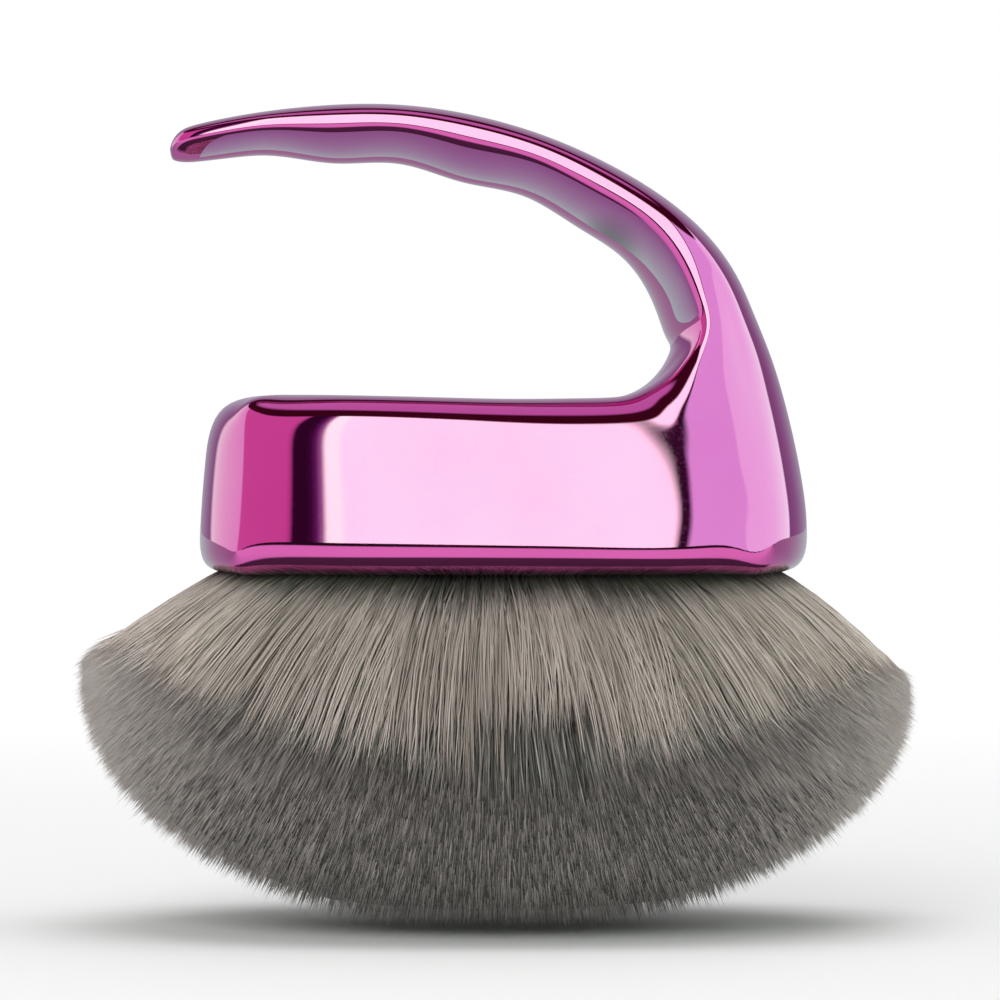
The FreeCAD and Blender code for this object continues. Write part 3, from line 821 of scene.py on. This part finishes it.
def fibre_mesh(name, corners, stops, tone):
    """A mesh of fibres from their corners, with the UV map of their tones."""
    count = len(corners)
    faces, places = fibre_faces(stops)
    first = np.arange(count)[:, None] * corners.shape[1]
    loops = first + np.concatenate([np.array(face) for face in faces])
    sizes = np.tile([len(face) for face in faces], count)
    starts = np.concatenate([[0], np.cumsum(sizes)[:-1]])
    flat = np.concatenate([np.array(place, dtype=float) for place in places])
    column = np.floor(tone * (TONES - BELOW_ONE))[:, None]
    u = (column + TONE_MARGIN + (1 - 2 * TONE_MARGIN) * flat[:, 0]) / TONES
    v = np.broadcast_to(flat[:, 1], u.shape)

    mesh = bpy.data.meshes.new(name)
    mesh.vertices.add(corners.shape[0] * corners.shape[1])
    mesh.vertices.foreach_set("co", (corners * MM).astype(np.float32).ravel())
    mesh.loops.add(loops.size)
    mesh.loops.foreach_set("vertex_index", loops.astype(np.int32).ravel())
    mesh.polygons.add(len(sizes))
    mesh.polygons.foreach_set("loop_start", starts.astype(np.int32))
    mesh.update(calc_edges=True)
    layer = mesh.uv_layers.new(name="OFBake")
    layer.uv.foreach_set("vector", np.stack([u, v], axis=-1).astype(np.float32).ravel())
    mesh.polygons.foreach_set("use_smooth", np.ones(len(sizes), dtype=bool))
    return mesh


def grow(name, lines, radius, tone, material):
    """One piece of tapering fibres along lines, an array of fibre, stop and coordinate in millimetres."""
    mesh = fibre_mesh(name, fibre_corners(lines, radius), lines.shape[1], tone)
    mesh.materials.append(material)
    piece = bpy.data.objects.new(name, mesh)
    scene.collection.objects.link(piece)
    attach(piece, "root")
    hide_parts("bristle_tuft")
    return piece


print("tones of the fibres", TONES)

# %% [markdown]
# The real fibres are nylon: pale, a little glossy, and dark only where they stand so close that no light gets
# in. Here that dark is painted into the colour along each fibre, as painted shade. Long fibres and trimmed
# tips differ in colour but read the UV map in the same way. What two materials share is a node group: it is
# built once, has named sockets, and is placed in each material with its own values. This one splits the map
# into the way along the fibre and a shade between the darkest grey and white.

# %% Fibre shades, a node group
def new_group(name, inputs, outputs):
    """A shader node group with named sockets, and its two end nodes."""
    group = bpy.data.node_groups.new(name, "ShaderNodeTree")
    for side, sockets in (("INPUT", inputs), ("OUTPUT", outputs)):
        for socket, kind in sockets:
            group.interface.new_socket(name=socket, in_out=side, socket_type=kind)
    return group, group.nodes.new("NodeGroupInput"), group.nodes.new("NodeGroupOutput")


def place_group(tree, group):
    """A node in a material that stands for a group."""
    node = tree.nodes.new("ShaderNodeGroup")
    node.node_tree = group
    return node


def colour_mix(tree, blend="MIX"):
    """A Mix node for colours, with the second colour white and in full until they are set."""
    node = tree.nodes.new("ShaderNodeMix")
    node.data_type = "RGBA"
    node.blend_type = blend
    node.inputs["Factor"].default_value = 1.0
    node.inputs["B"].default_value = (1, 1, 1, 1)
    return node


fibre_shades, given, result = new_group(
    "fibre_shades",
    [("Map", "NodeSocketVector"), ("Darkest", "NodeSocketColor")],
    [("Along", "NodeSocketFloat"), ("Shade", "NodeSocketColor")],
)
split = fibre_shades.nodes.new("ShaderNodeSeparateXYZ")
fibre_shades.links.new(given.outputs["Map"], split.inputs["Vector"])
shade = colour_mix(fibre_shades)
fibre_shades.links.new(split.outputs["X"], shade.inputs["Factor"])
fibre_shades.links.new(given.outputs["Darkest"], shade.inputs["A"])
fibre_shades.links.new(split.outputs["Y"], result.inputs["Along"])
fibre_shades.links.new(shade.outputs["Result"], result.inputs["Shade"])
print("node group", fibre_shades.name)

# %% Fibre materials
# Colour along a long fibre, root to tip. The near-black part by the root is painted shade under the rim of
# the base, over a root that is a little darker.
LONG_COLOURS_WITH_ROOT_SHADE = [
    (0.0, (0.015, 0.014, 0.013)),
    (0.1, (0.03, 0.028, 0.026)),
    (0.21, (0.10, 0.089, 0.083)),
    (0.36, (0.55, 0.478, 0.437)),
    (1.0, (0.84, 0.738, 0.685)),
]
# Colour along a shown dome tip, from its inner end to the tip: darker inwards, as painted shade deeper in the
# tuft.
DOME_COLOURS_WITH_DEPTH_SHADE = [(0.0, (0.40, 0.365, 0.34)), (0.5, (0.66, 0.603, 0.562)), (1.0, (1.0, 0.91, 0.85))]
LONG_DARKEST, DOME_DARKEST = (0.44, 0.42, 0.40), (0.16, 0.163, 0.163)


def fibre_material(name, stops, darkest):
    """Nylon fibre: a colour ramp along it, times a shade that depends on its tone."""
    material, tree, shader = new_material(name)
    shader.inputs["Roughness"].default_value = 0.5
    shader.inputs["Specular IOR Level"].default_value = 0.35
    uv = tree.nodes.new("ShaderNodeUVMap")
    uv.uv_map = "OFBake"
    shades = place_group(tree, fibre_shades)
    shades.inputs["Darkest"].default_value = (*darkest, 1)
    tree.links.new(uv.outputs["UV"], shades.inputs["Map"])
    shaded = colour_mix(tree, "MULTIPLY")
    tree.links.new(ramp(tree, shades.outputs["Along"], stops), shaded.inputs["A"])
    tree.links.new(shades.outputs["Shade"], shaded.inputs["B"])
    tree.links.new(shaded.outputs["Result"], shader.inputs["Base Color"])
    return material


long_fibre = fibre_material("long_fibre", LONG_COLOURS_WITH_ROOT_SHADE, LONG_DARKEST)
dome_fibre = fibre_material("dome_fibre", DOME_COLOURS_WITH_DEPTH_SHADE, DOME_DARKEST)
print("fibre materials", long_fibre.name, dome_fibre.name)

# %% [markdown]
# Between the fibres one sees more fibres, deeper and darker. Growing all of them would take millions of
# faces, so the inside of the tuft is one closed core, a sphere pulled into the shape of the tuft just under
# the fibres: the cone of the fan above and the dome below, whichever is narrower. Its material has fine dark
# streaks that run down it, like fibres in shade.

# %% The core of the tuft
CORE_TOP, CORE_BOTTOM = 47.0, 1.6
CONE_TOP = ROOT_LEVEL - 0.5
CONE_DEPTH, DOME_DEPTH = 0.8, 2.0
POLE_ROUNDING = 12
SAG_GROWS_OVER = 16

bpy.ops.mesh.primitive_uv_sphere_add(segments=96, ring_count=48, radius=1.0)
core = bpy.context.object
core.name = core.data.name = "bristle_core"
points = np.empty(len(core.data.vertices) * 3, dtype=np.float32)
core.data.vertices.foreach_get("co", points)
points = points.reshape(-1, 3)
around = np.arctan2(points[:, 1], points[:, 0])
level = CORE_TOP + (CORE_BOTTOM - CORE_TOP) * np.arccos(np.clip(points[:, 2], -1, 1)) / math.pi
cone = ROOT_HALF + SPREAD * np.maximum(CONE_TOP - level, 0)[:, None] - CONE_DEPTH
height = (level - DOME_MIDDLE) / (DOME_HALF[2] - DOME_DEPTH)
dome = (DOME_HALF[:2] - DOME_DEPTH) * np.sqrt(np.maximum(1 - height**2, 0))[:, None]
from_pole = np.minimum(1, np.hypot(points[:, 0], points[:, 1]) * POLE_ROUNDING)
core_half = np.minimum(cone, dome) * from_pole[:, None]
right = np.maximum(np.cos(around), 0) * np.clip((ROOT_LEVEL - level) / SAG_GROWS_OVER, 0, 1)
points[:, 0] = core_half[:, 0] * np.cos(around)
points[:, 1] = core_half[:, 1] * np.sin(around)
points[:, 0] *= 1 - RIGHT_NARROWING * right
points[:, 2] = level - RIGHT_SAG * right * np.clip((level - SAG_FROM) / SAG_REACH, 0, 1)
core.data.vertices.foreach_set("co", (points * MM).ravel())
core.data.update()
bpy.ops.object.shade_smooth()
core.select_set(False)
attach(core, "root")
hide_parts("bristle_tuft")
print("core", len(core.data.polygons), "faces")

# %% Shaded fibres of the core
STREAK_SCALE, STREAK_STRETCH = 2200.0, (1.0, 1.0, 0.08)
# The dark streaks are painted shade: fibres deep in the tuft, where little light gets in.
STREAK_COLOURS = [(0.35, (0.03, 0.028, 0.026)), (0.7, (0.15, 0.138, 0.127))]
shaded_fibre, tree, shader = new_material("shaded_fibre")
shader.inputs["Roughness"].default_value = 0.9
places = tree.nodes.new("ShaderNodeTexCoord")
stretch = tree.nodes.new("ShaderNodeMapping")
stretch.inputs["Scale"].default_value = STREAK_STRETCH
tree.links.new(places.outputs["Object"], stretch.inputs["Vector"])
streaks = tree.nodes.new("ShaderNodeTexNoise")
streaks.inputs["Scale"].default_value = STREAK_SCALE
tree.links.new(stretch.outputs["Vector"], streaks.inputs["Vector"])
tree.links.new(ramp(tree, streaks.outputs["Fac"], STREAK_COLOURS), shader.inputs["Base Color"])
core.data.materials.append(shaded_fibre)
print("streaks on", core.name)

# %% [markdown]
# The outer fibres are the longest. They leave the cup in a wide fan and bend down to their tips, so each line
# is a curve with three control points: root, knee and tip. Real fibres cling together in wisps with ragged
# ends. A wisp has its own place, lean, cut and tone, and its fibres start apart and gather towards its end.
# At the two ends of the brush the wisps are hardly cut, because there they make the outline.

# %% Wisps
WISPS = 520
WISP_DEPTH, WISP_DEPTH_POWER = 0.18, 1.5
WISP_LEAN = 0.07
wisp_turn = rng.uniform(0, 2 * math.pi, WISPS)
wisp_radius = 1 - WISP_DEPTH * rng.random(WISPS) ** WISP_DEPTH_POWER
wisp_lean = rng.normal(0, WISP_LEAN, (WISPS, 2))
wisp_cut = rng.random(WISPS)
wisp_tone = rng.random(WISPS)
print("wisps", WISPS)

# %% Lines of long fibres
LONG_STOPS = 8
KNEE, KNEE_POWER = np.array([0.42, 0.6, 0.42]), 0.6
ARCH_LEAST, ARCH_MORE = 1.2, 1.6
WAVER = 0.10
along_long = np.linspace(0, 1, LONG_STOPS)


def long_lines(root, aim, drop):
    """Curves from the roots over the knees to the tips, each with its own arch and a little waver."""
    tip = root + fan(aim) * drop
    knee = root + fan(aim, KNEE_POWER) * KNEE * drop
    bend = along_long[:, None]
    lines = (1 - bend) ** 2 * root[:, None] + 2 * bend * (1 - bend) * knee[:, None] + bend**2 * tip[:, None]
    arch = ARCH_LEAST + ARCH_MORE * rng.random((len(root), 1))
    lines[..., 2] += along_long * (1 - along_long) * arch
    lines[:, 1:] += rng.normal(0, WAVER, (len(root), LONG_STOPS - 1, 3)) * along_long[1:, None]
    return lines


print("long fibres have", LONG_STOPS, "stops")

# %% Long outer fibres
LONG_PIECES = 8
LONG_PER_PIECE = 2900
LONG_RADIUS = 0.13 * np.array([1, 1, 1, 1, 0.95, 0.8, 0.5, 0.0])
FIBRE_TURN, FIBRE_DEPTH, FIBRE_LEAN = 0.07, 0.02, 0.016
GATHERED = 0.28
END_CARE, END_CARE_POWER = 0.85, 1.5
LONGEST, WISP_CUT, FIBRE_CUT = 1.03, 0.36, 0.14
FIBRE_TONE, WISP_TONE, END_LIGHT, DARKER = 0.55, 0.35, 0.4, 0.1
SECTOR = 2 * math.pi / LONG_PIECES

for number in range(LONG_PIECES):
    first = 2 * math.pi * number / LONG_PIECES
    near = np.flatnonzero((wisp_turn >= first) & (wisp_turn < first + SECTOR))
    which = rng.choice(near, LONG_PER_PIECE)
    own = rng.normal(0, 1, (LONG_PER_PIECE, 2))
    centre = disc(wisp_turn[which], wisp_radius[which])
    depth = np.minimum(wisp_radius[which] + FIBRE_DEPTH * own[:, 1], 1.0)
    place = disc(wisp_turn[which] + FIBRE_TURN * own[:, 0], depth)
    aim = centre + GATHERED * (place - centre) + wisp_lean[which]
    aim = aim + rng.normal(0, FIBRE_LEAN, (LONG_PER_PIECE, 2))
    aim /= np.maximum(np.linalg.norm(aim, axis=1, keepdims=True), 1.0)
    root = roots_at(place)
    front = 1 - END_CARE * np.abs(np.cos(wisp_turn[which])) ** END_CARE_POWER
    cut = LONGEST - WISP_CUT * front * wisp_cut[which] - FIBRE_CUT * rng.random(LONG_PER_PIECE) ** 2
    lines = long_lines(root, aim, (dome_drop(root, fan(aim)) * cut)[:, None])
    tone = FIBRE_TONE * rng.random(LONG_PER_PIECE) + WISP_TONE * wisp_tone[which]
    # Fibres near the two ends of the brush are painted paler, as painted light where more light reaches them.
    tone = np.clip(tone + END_LIGHT * place[:, 0] ** 2 - DARKER, 0, 1)
    grow(f"long_fibres_{number + 1}", sag(lines, place, along_long), LONG_RADIUS, tone, long_fibre)
print("long fibres", LONG_PIECES * LONG_PER_PIECE)

# %% [markdown]
# Below the wisps the trimmed ends of all the other fibres make the dome. Only their last centimetre shows, so
# only that is made, along the line from each root to its place on the dome. Tips near the two ends are
# painted paler, as painted light where more light reaches them, and those round the edge are painted darker,
# as painted shade under the wisps.

# %% Tips of the dome
DOME_PIECES = 6
DOME_PER_PIECE = 15000
DOME_STOPS = np.array([0.0, 0.6, 1.0])
DOME_RADIUS = 0.12 * np.array([1, 0.9, 0.0])
EDGE_POWER, DOME_EDGE = 0.8, 0.99
TRIM, SHOWN_LENGTHS, FROM_ROOT, SCATTER = 0.06, (9, 15), 0.2, 0.5
TIP_TONE, TIP_TONE_RANGE = 0.43, 1.1
FAR_END_LIGHT, NEAR_END_LIGHT, EDGE_SHADE = 0.7, 0.9, 0.42

for number in range(DOME_PIECES):
    from_middle = np.sqrt(rng.random(DOME_PER_PIECE)) ** EDGE_POWER * DOME_EDGE
    place = disc(rng.uniform(0, 2 * math.pi, DOME_PER_PIECE), from_middle)
    root = roots_at(place)
    way = fan(place)
    drop = dome_drop(root, way)
    tip = root + way * (drop * (1 - TRIM * rng.random(DOME_PER_PIECE) ** 2))[:, None]
    length = rng.uniform(*SHOWN_LENGTHS, DOME_PER_PIECE) / np.linalg.norm(way, axis=1)
    start = root + way * np.maximum(drop - length, FROM_ROOT)[:, None]
    tip += rng.normal(0, SCATTER, tip.shape)
    lines = start[:, None] + (tip - start)[:, None] * DOME_STOPS[:, None]
    # Painted light near the two ends of the brush, less painted shade round the edge under the wisps; a tone
    # that differs at random is added below.
    outer = FAR_END_LIGHT * place[:, 0] ** 4 + NEAR_END_LIGHT * place[:, 0] ** 2 - EDGE_SHADE * from_middle**4
    tone = np.clip(TIP_TONE + outer + TIP_TONE_RANGE * (rng.random(DOME_PER_PIECE) - 0.5), 0, 1)
    lowered = sag(lines, place, np.ones(len(DOME_STOPS)))
    grow(f"dome_fibres_{number + 1}", lowered, DOME_RADIUS, tone, dome_fibre)
print("dome fibres", DOME_PIECES * DOME_PER_PIECE)

# %% [markdown]
# ## The pieces inside
# The cup, its adhesive and the potting of the roots are hidden in the base, and their solids already have the
# right shape. They keep it and get finishes: fine-grained black plastic, cloudy adhesive and amber resin. All
# three are a cloud of two colours with a low bump, at their own scale, so that cloud is a node group too.

# %% Cloudy grain, a node group
CLOUD_DETAIL, CLOUD_FROM, CLOUD_TO = 4.0, 0.3, 0.7
cloudy_grain, given, result = new_group(
    "cloudy_grain",
    [("Scale", "NodeSocketFloat"), ("Dark", "NodeSocketColor"), ("Light", "NodeSocketColor")],
    [("Colour", "NodeSocketColor"), ("Height", "NodeSocketFloat")],
)
cloud = noise(cloudy_grain, 1.0, CLOUD_DETAIL)
cloudy_grain.links.new(given.outputs["Scale"], cloud.node.inputs["Scale"])
share = cloudy_grain.nodes.new("ShaderNodeMapRange")
share.inputs["From Min"].default_value = CLOUD_FROM
share.inputs["From Max"].default_value = CLOUD_TO
cloudy_grain.links.new(cloud, share.inputs["Value"])
clouded = colour_mix(cloudy_grain)
cloudy_grain.links.new(share.outputs["Result"], clouded.inputs["Factor"])
cloudy_grain.links.new(given.outputs["Dark"], clouded.inputs["A"])
cloudy_grain.links.new(given.outputs["Light"], clouded.inputs["B"])
cloudy_grain.links.new(clouded.outputs["Result"], result.inputs["Colour"])
cloudy_grain.links.new(cloud, result.inputs["Height"])
print("node group", cloudy_grain.name)

# %% Finishes of the inner pieces
GRAIN_STRENGTH, GRAIN_HEIGHT = 0.2, 0.0002
# Node, finish, dark colour, light colour, scale of the grain and roughness.
INNER_FINISHES = (
    ("bristle_cup", "cup_plastic", (0.02, 0.02, 0.022), (0.05, 0.05, 0.054), 900.0, 0.55),
    ("cup_bond", "cloudy_adhesive", (0.62, 0.57, 0.44), (0.74, 0.70, 0.58), 260.0, 0.4),
    ("root_glue", "amber_resin", (0.38, 0.29, 0.13), (0.52, 0.42, 0.22), 180.0, 0.2),
)
for node, name, dark, light, scale, roughness in INNER_FINISHES:
    finish, tree, shader = new_material(name)
    shader.inputs["Roughness"].default_value = roughness
    grain = place_group(tree, cloudy_grain)
    grain.inputs["Scale"].default_value = scale
    grain.inputs["Dark"].default_value = (*dark, 1)
    grain.inputs["Light"].default_value = (*light, 1)
    tree.links.new(grain.outputs["Colour"], shader.inputs["Base Color"])
    add_bump(tree, shader, grain.outputs["Height"], GRAIN_STRENGTH, GRAIN_HEIGHT)
    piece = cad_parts[node]
    piece.data.materials.clear()
    piece.data.materials.append(finish)
    print(node, "is", name)

# %% [markdown]
# ## The stage
# A mirror shows the room, so the room is part of the look. The catalogue picture was taken between soft boxes
# with dark gaps: a large box in front, tinted cards to the left and right, and a dark ceiling. Real boxes
# could be modelled, but their light would also fall on the bristles. So the world paints them by direction,
# for mirror rays only. A camera ray sees plain white, and everything matt is lit by two soft lamps and an
# even fill.

# %% Helpers for the stage
BRIGHTEST = 8.0


def dimmed(colour):
    """A colour as a share of the brightest, because a colour ramp holds nothing above 1."""
    return tuple(part / BRIGHTEST for part in colour)


def over_range(tree, value, first, last, low=0.0, high=1.0):
    """A value as a smooth step from low to high."""
    step = tree.nodes.new("ShaderNodeMapRange")
    step.interpolation_type = "SMOOTHSTEP"
    for name, number in zip(("From Min", "From Max", "To Min", "To Max"), (first, last, low, high)):
        step.inputs[name].default_value = number
    tree.links.new(value, step.inputs["Value"])
    return step.outputs["Result"]


def blend_in(tree, share, under, over):
    """A mix of two shaders."""
    blend = tree.nodes.new("ShaderNodeMixShader")
    tree.links.new(share, blend.inputs["Fac"])
    tree.links.new(under, blend.inputs[1])
    tree.links.new(over, blend.inputs[2])
    return blend.outputs["Shader"]


def sums(tree, operation, first, second=None):
    """A Math node on sockets or numbers."""
    node = tree.nodes.new("ShaderNodeMath")
    node.operation = operation
    for socket, value in zip(node.inputs, (first, second)):
        if isinstance(value, (int, float)):
            socket.default_value = value
        elif value is not None:
            tree.links.new(value, socket)
    return node.outputs["Value"]


def split_place(tree, output="Object"):
    """The place on a piece, or a direction of the world, and its X, Y and Z."""
    places = tree.nodes.new("ShaderNodeTexCoord")
    split = tree.nodes.new("ShaderNodeSeparateXYZ")
    tree.links.new(places.outputs[output], split.inputs["Vector"])
    return places.outputs[output], split.outputs


print("stage colours go up to", BRIGHTEST)

# %% [markdown]
# The floor is a plain pale disc. To the camera it fades to white away from the brush, so that no horizon
# shows and the shadow stays. To a mirror it is a glowing sheet: bright in front, dimmer behind, and dark in a
# ring round the brush, a painted shadow of the brush, which gives the rim of the base its dark lower band.

# %% Floor
FLOOR_RADIUS, FLOOR_COLOUR = 4.0, (0.82, 0.82, 0.82, 1)
FLOOR_FADE = (0.07, 0.45)
bpy.ops.mesh.primitive_circle_add(vertices=96, radius=FLOOR_RADIUS, fill_type="NGON")
floor = bpy.context.object
floor.name = floor.data.name = "floor"
floor.select_set(False)
floor_material, tree, matt = new_material("pale_floor")
matt.inputs["Base Color"].default_value = FLOOR_COLOUR
matt.inputs["Roughness"].default_value = 0.9
matt.inputs["Specular IOR Level"].default_value = 0.1
floor.data.materials.append(floor_material)
print("floor is white from", FLOOR_FADE[1], "m")

# %% The floor in a mirror
FLOOR_IN_FRONT, FLOOR_BEHIND, FRONT_TO_BACK = (1.1, 1.1, 1.1), (0.45, 0.5, 0.52), (-0.15, 0.1)
BRUSH_SHADOW_INNER, BRUSH_SHADOW, BRUSH_SHADOW_LIGHT = (0.03, 0.047), (0.105, 0.13), 0.1
BEHIND_BRUSH = (0.0, 0.03)
DARK_END, DARK_END_LIGHT = (-0.75, -0.45), 0.02

place, (_, y, _) = split_place(tree)
from_origin = tree.nodes.new("ShaderNodeVectorMath")
from_origin.operation = "LENGTH"
tree.links.new(place, from_origin.inputs[0])
away = from_origin.outputs["Value"]
mirrored = tree.nodes.new("ShaderNodeEmission")
floor_colours = [(0.0, dimmed(FLOOR_IN_FRONT)), (1.0, dimmed(FLOOR_BEHIND))]
tree.links.new(ramp(tree, over_range(tree, y, *FRONT_TO_BACK), floor_colours), mirrored.inputs["Color"])
# Painted shadow of the brush in the mirrored floor: the light is low in a ring round the brush, in front and
# at the sides, and not behind it.
light_round_shadow = over_range(tree, away, *BRUSH_SHADOW, BRUSH_SHADOW_LIGHT * BRIGHTEST, BRIGHTEST)
light = sums(tree, "MAXIMUM", light_round_shadow, over_range(tree, y, *BEHIND_BRUSH, 0.0, BRIGHTEST))
light = sums(tree, "MAXIMUM", light, over_range(tree, away, *BRUSH_SHADOW_INNER, BRIGHTEST, 0.0))
dark_end = over_range(tree, y, *DARK_END, DARK_END_LIGHT, 1.0)
tree.links.new(sums(tree, "MULTIPLY", light, dark_end), mirrored.inputs["Strength"])
print("mirrored floor is dark from", BRUSH_SHADOW_INNER[1], "to", BRUSH_SHADOW[0], "m")

# %% The floor by kind of ray
path = tree.nodes.new("ShaderNodeLightPath")
white = tree.nodes.new("ShaderNodeEmission")
seen = sums(tree, "MULTIPLY", over_range(tree, away, *FLOOR_FADE), path.outputs["Is Camera Ray"])
surface = blend_in(tree, seen, matt.outputs["BSDF"], white.outputs["Emission"])
surface = blend_in(tree, path.outputs["Is Glossy Ray"], surface, mirrored.outputs["Emission"])
tree.links.new(surface, tree.nodes["Material Output"].inputs["Surface"])
print("floor nodes", len(tree.nodes))

# %% [markdown]
# The underside of the arm mirrors the top of the base, which would be dark twice over. A small card that lies
# on the base fills it with lilac light, as in the photograph. Only mirrors see the card, and only from above.

# %% Card under the arm
CARD_LEVEL = 0.0671
CARD_HALF = (0.0215, 0.019)
CARD_FROM_MIDDLE = -0.0155
bpy.ops.mesh.primitive_plane_add(size=2.0)
card = bpy.context.object
card.name = card.data.name = "under_card"
for vert in card.data.vertices:
    vert.co.x = vert.co.x * CARD_HALF[0] + CARD_FROM_MIDDLE
    vert.co.y = vert.co.y * CARD_HALF[1]
    vert.co.z = CARD_LEVEL
card.visible_camera = card.visible_diffuse = card.visible_shadow = False
card.select_set(False)
print("lilac card of", 2000 * CARD_HALF[0], "x", 2000 * CARD_HALF[1], "mm")

# %% Light of the card
CARD_FRONT, CARD_REAR = (0.40, 0.67, 0.57), (0.53, 1.66, 0.86)
CARD_FADE = (-0.006, 0.005)
card_material, tree, unused = new_material("lilac_card")
tree.nodes.remove(unused)
_, (x, y, _) = split_place(tree)
glow = tree.nodes.new("ShaderNodeEmission")
across = over_range(tree, y, -CARD_HALF[1], CARD_HALF[1])
card_colours = [(0.0, dimmed(CARD_FRONT)), (1.0, dimmed(CARD_REAR))]
tree.links.new(ramp(tree, across, card_colours), glow.inputs["Color"])
tree.links.new(over_range(tree, x, *CARD_FADE, BRIGHTEST, 0.0), glow.inputs["Strength"])
clear = tree.nodes.new("ShaderNodeBsdfTransparent")
side = tree.nodes.new("ShaderNodeNewGeometry")
facing = blend_in(tree, side.outputs["Backfacing"], glow.outputs["Emission"], clear.outputs["BSDF"])
tree.links.new(facing, tree.nodes["Material Output"].inputs["Surface"])
card.data.materials.append(card_material)
print("card fades out to the right from", 1000 * CARD_FADE[0], "to", 1000 * CARD_FADE[1], "mm")

# %% [markdown]
# Now the room round the brush. Each card is a colour from one azimuth to another, and a colour ramp over the
# azimuth holds them all. The plating is magenta, which swallows green, so a card that should look pale in it
# has more green than red or blue. The narrow dark gaps draw the dark lines beside the front panel.

# %% Cards round the brush
BACK = (0.42, 0.38, 0.46)
LEFT_PINK, LEFT_MAGENTA = (1.12, 1.57, 1.2), (0.87, 0.39, 0.66)
GAP, GLOW = (0.04, 0.01, 0.04), (0.3, 0.1, 0.4)
FRONT_EDGE, FRONT = (2.0, 6.7, 2.3), (2.0, 5.6, 2.3)
RIGHT_LILAC, RIGHT_PINK = (1.16, 1.98, 1.57), (1.33, 2.8, 1.77)
REAR_GAP = (0.30, 0.20, 0.35)
# Azimuth in degrees from the camera's side, positive to the right, and colour.
CARDS = (
    (-180, BACK),
    (-140, REAR_GAP),
    (-134, LEFT_PINK),
    (-89, LEFT_PINK),
    (-87, LEFT_MAGENTA),
    (-34, LEFT_MAGENTA),
    (-33, GAP),
    (-27, GAP),
    (-24, GLOW),
    (-23, FRONT_EDGE),
    (-19, FRONT_EDGE),
    (-18.5, FRONT),
    (20.5, FRONT),
    (21.0, GAP),
    (23.0, GAP),
    (23.5, RIGHT_LILAC),
    (63, RIGHT_LILAC),
    (65, RIGHT_PINK),
    (123, RIGHT_PINK),
    (125, REAR_GAP),
    (140, REAR_GAP),
    (180, BACK),
)
world = bpy.data.worlds.new("studio")
scene.world = world
world.use_nodes = True
tree = world.node_tree
_, (x, y, z) = split_place(tree, "Generated")
azimuth = sums(tree, "ARCTAN2", x, sums(tree, "MULTIPLY", y, -1.0))
turn = sums(tree, "ADD", sums(tree, "DIVIDE", azimuth, 2 * math.pi), 0.5)
cards = ramp(tree, turn, [((angle + 180) / 360, dimmed(colour)) for angle, colour in CARDS])
print("room of", len(CARDS), "stops")

# %% [markdown]
# Above the cards is a dark ceiling with one pale box straight overhead. The room is then shown to mirror rays
# only. Other rays get a plain white: in full for the camera, and less of it as the fill for matt surfaces.

# %% The ceiling and the kinds of ray
CARD_TOP, CARD_TOP_SOFTNESS = 44.0, 1.5
CEILING_GAP, OVERHEAD, OVERHEAD_FROM = (0.06, 0.01, 0.02), (0.75, 0.6, 0.78), (62.0, 68.0)
FILL = 0.62
rise = sums(tree, "DIVIDE", sums(tree, "ARCSINE", z), math.pi / 2)
ceiling = [(angle / 90, dimmed(colour)) for angle, colour in zip(OVERHEAD_FROM, (CEILING_GAP, OVERHEAD))]
above = over_range(tree, rise, (CARD_TOP - CARD_TOP_SOFTNESS) / 90, (CARD_TOP + CARD_TOP_SOFTNESS) / 90)
room = colour_mix(tree)
tree.links.new(above, room.inputs["Factor"])
tree.links.new(cards, room.inputs["A"])
tree.links.new(ramp(tree, rise, ceiling), room.inputs["B"])
mirror_room = tree.nodes.new("ShaderNodeBackground")
mirror_room.inputs["Strength"].default_value = BRIGHTEST
tree.links.new(room.outputs["Result"], mirror_room.inputs["Color"])
path = tree.nodes.new("ShaderNodeLightPath")
plain = tree.nodes["Background"]
plain.inputs["Color"].default_value = (1, 1, 1, 1)
more_for_camera = sums(tree, "MULTIPLY", path.outputs["Is Camera Ray"], 1 - FILL)
tree.links.new(sums(tree, "ADD", FILL, more_for_camera), plain.inputs["Strength"])
by_ray = blend_in(tree, path.outputs["Is Glossy Ray"], plain.outputs[0], mirror_room.outputs[0])
tree.links.new(by_ray, tree.nodes["World Output"].inputs["Surface"])
scene.view_settings.view_transform = "Standard"
print("fill light", FILL)

# %% [markdown]
# Two square lamps light the bristles: a key lamp from the upper left of the camera, and one from above that
# draws the shadow under the rim. Large lamps give soft shadows. They are hidden from mirrors, which already
# show the cards, and their power follows from their size, so that only the brightness has to be chosen.

# %% Lamps
TUFT_MIDDLE = (0, 0, 0.04)
# Name, place, width and brightness.
LAMPS = (("key", (-0.35, -0.85, 0.75), 0.7, 2.6), ("top", (0.1, 0.1, 1.1), 0.9, 2.2))


def soft_lamp(name, place, width, brightness):
    """A square area lamp with an even face of a given brightness, aimed at the tuft."""
    data = bpy.data.lights.new(name, "AREA")
    data.size = width
    data.energy = brightness * math.pi * width**2
    lamp = bpy.data.objects.new(name, data)
    scene.collection.objects.link(lamp)
    lamp.location = place
    lamp.rotation_euler = (Vector(TUFT_MIDDLE) - Vector(place)).to_track_quat("-Z", "Y").to_euler()
    lamp.visible_camera = False
    lamp.visible_glossy = False
    print("lamp", name, "of", round(data.energy, 2), "W")


for lamp in LAMPS:
    soft_lamp(*lamp)
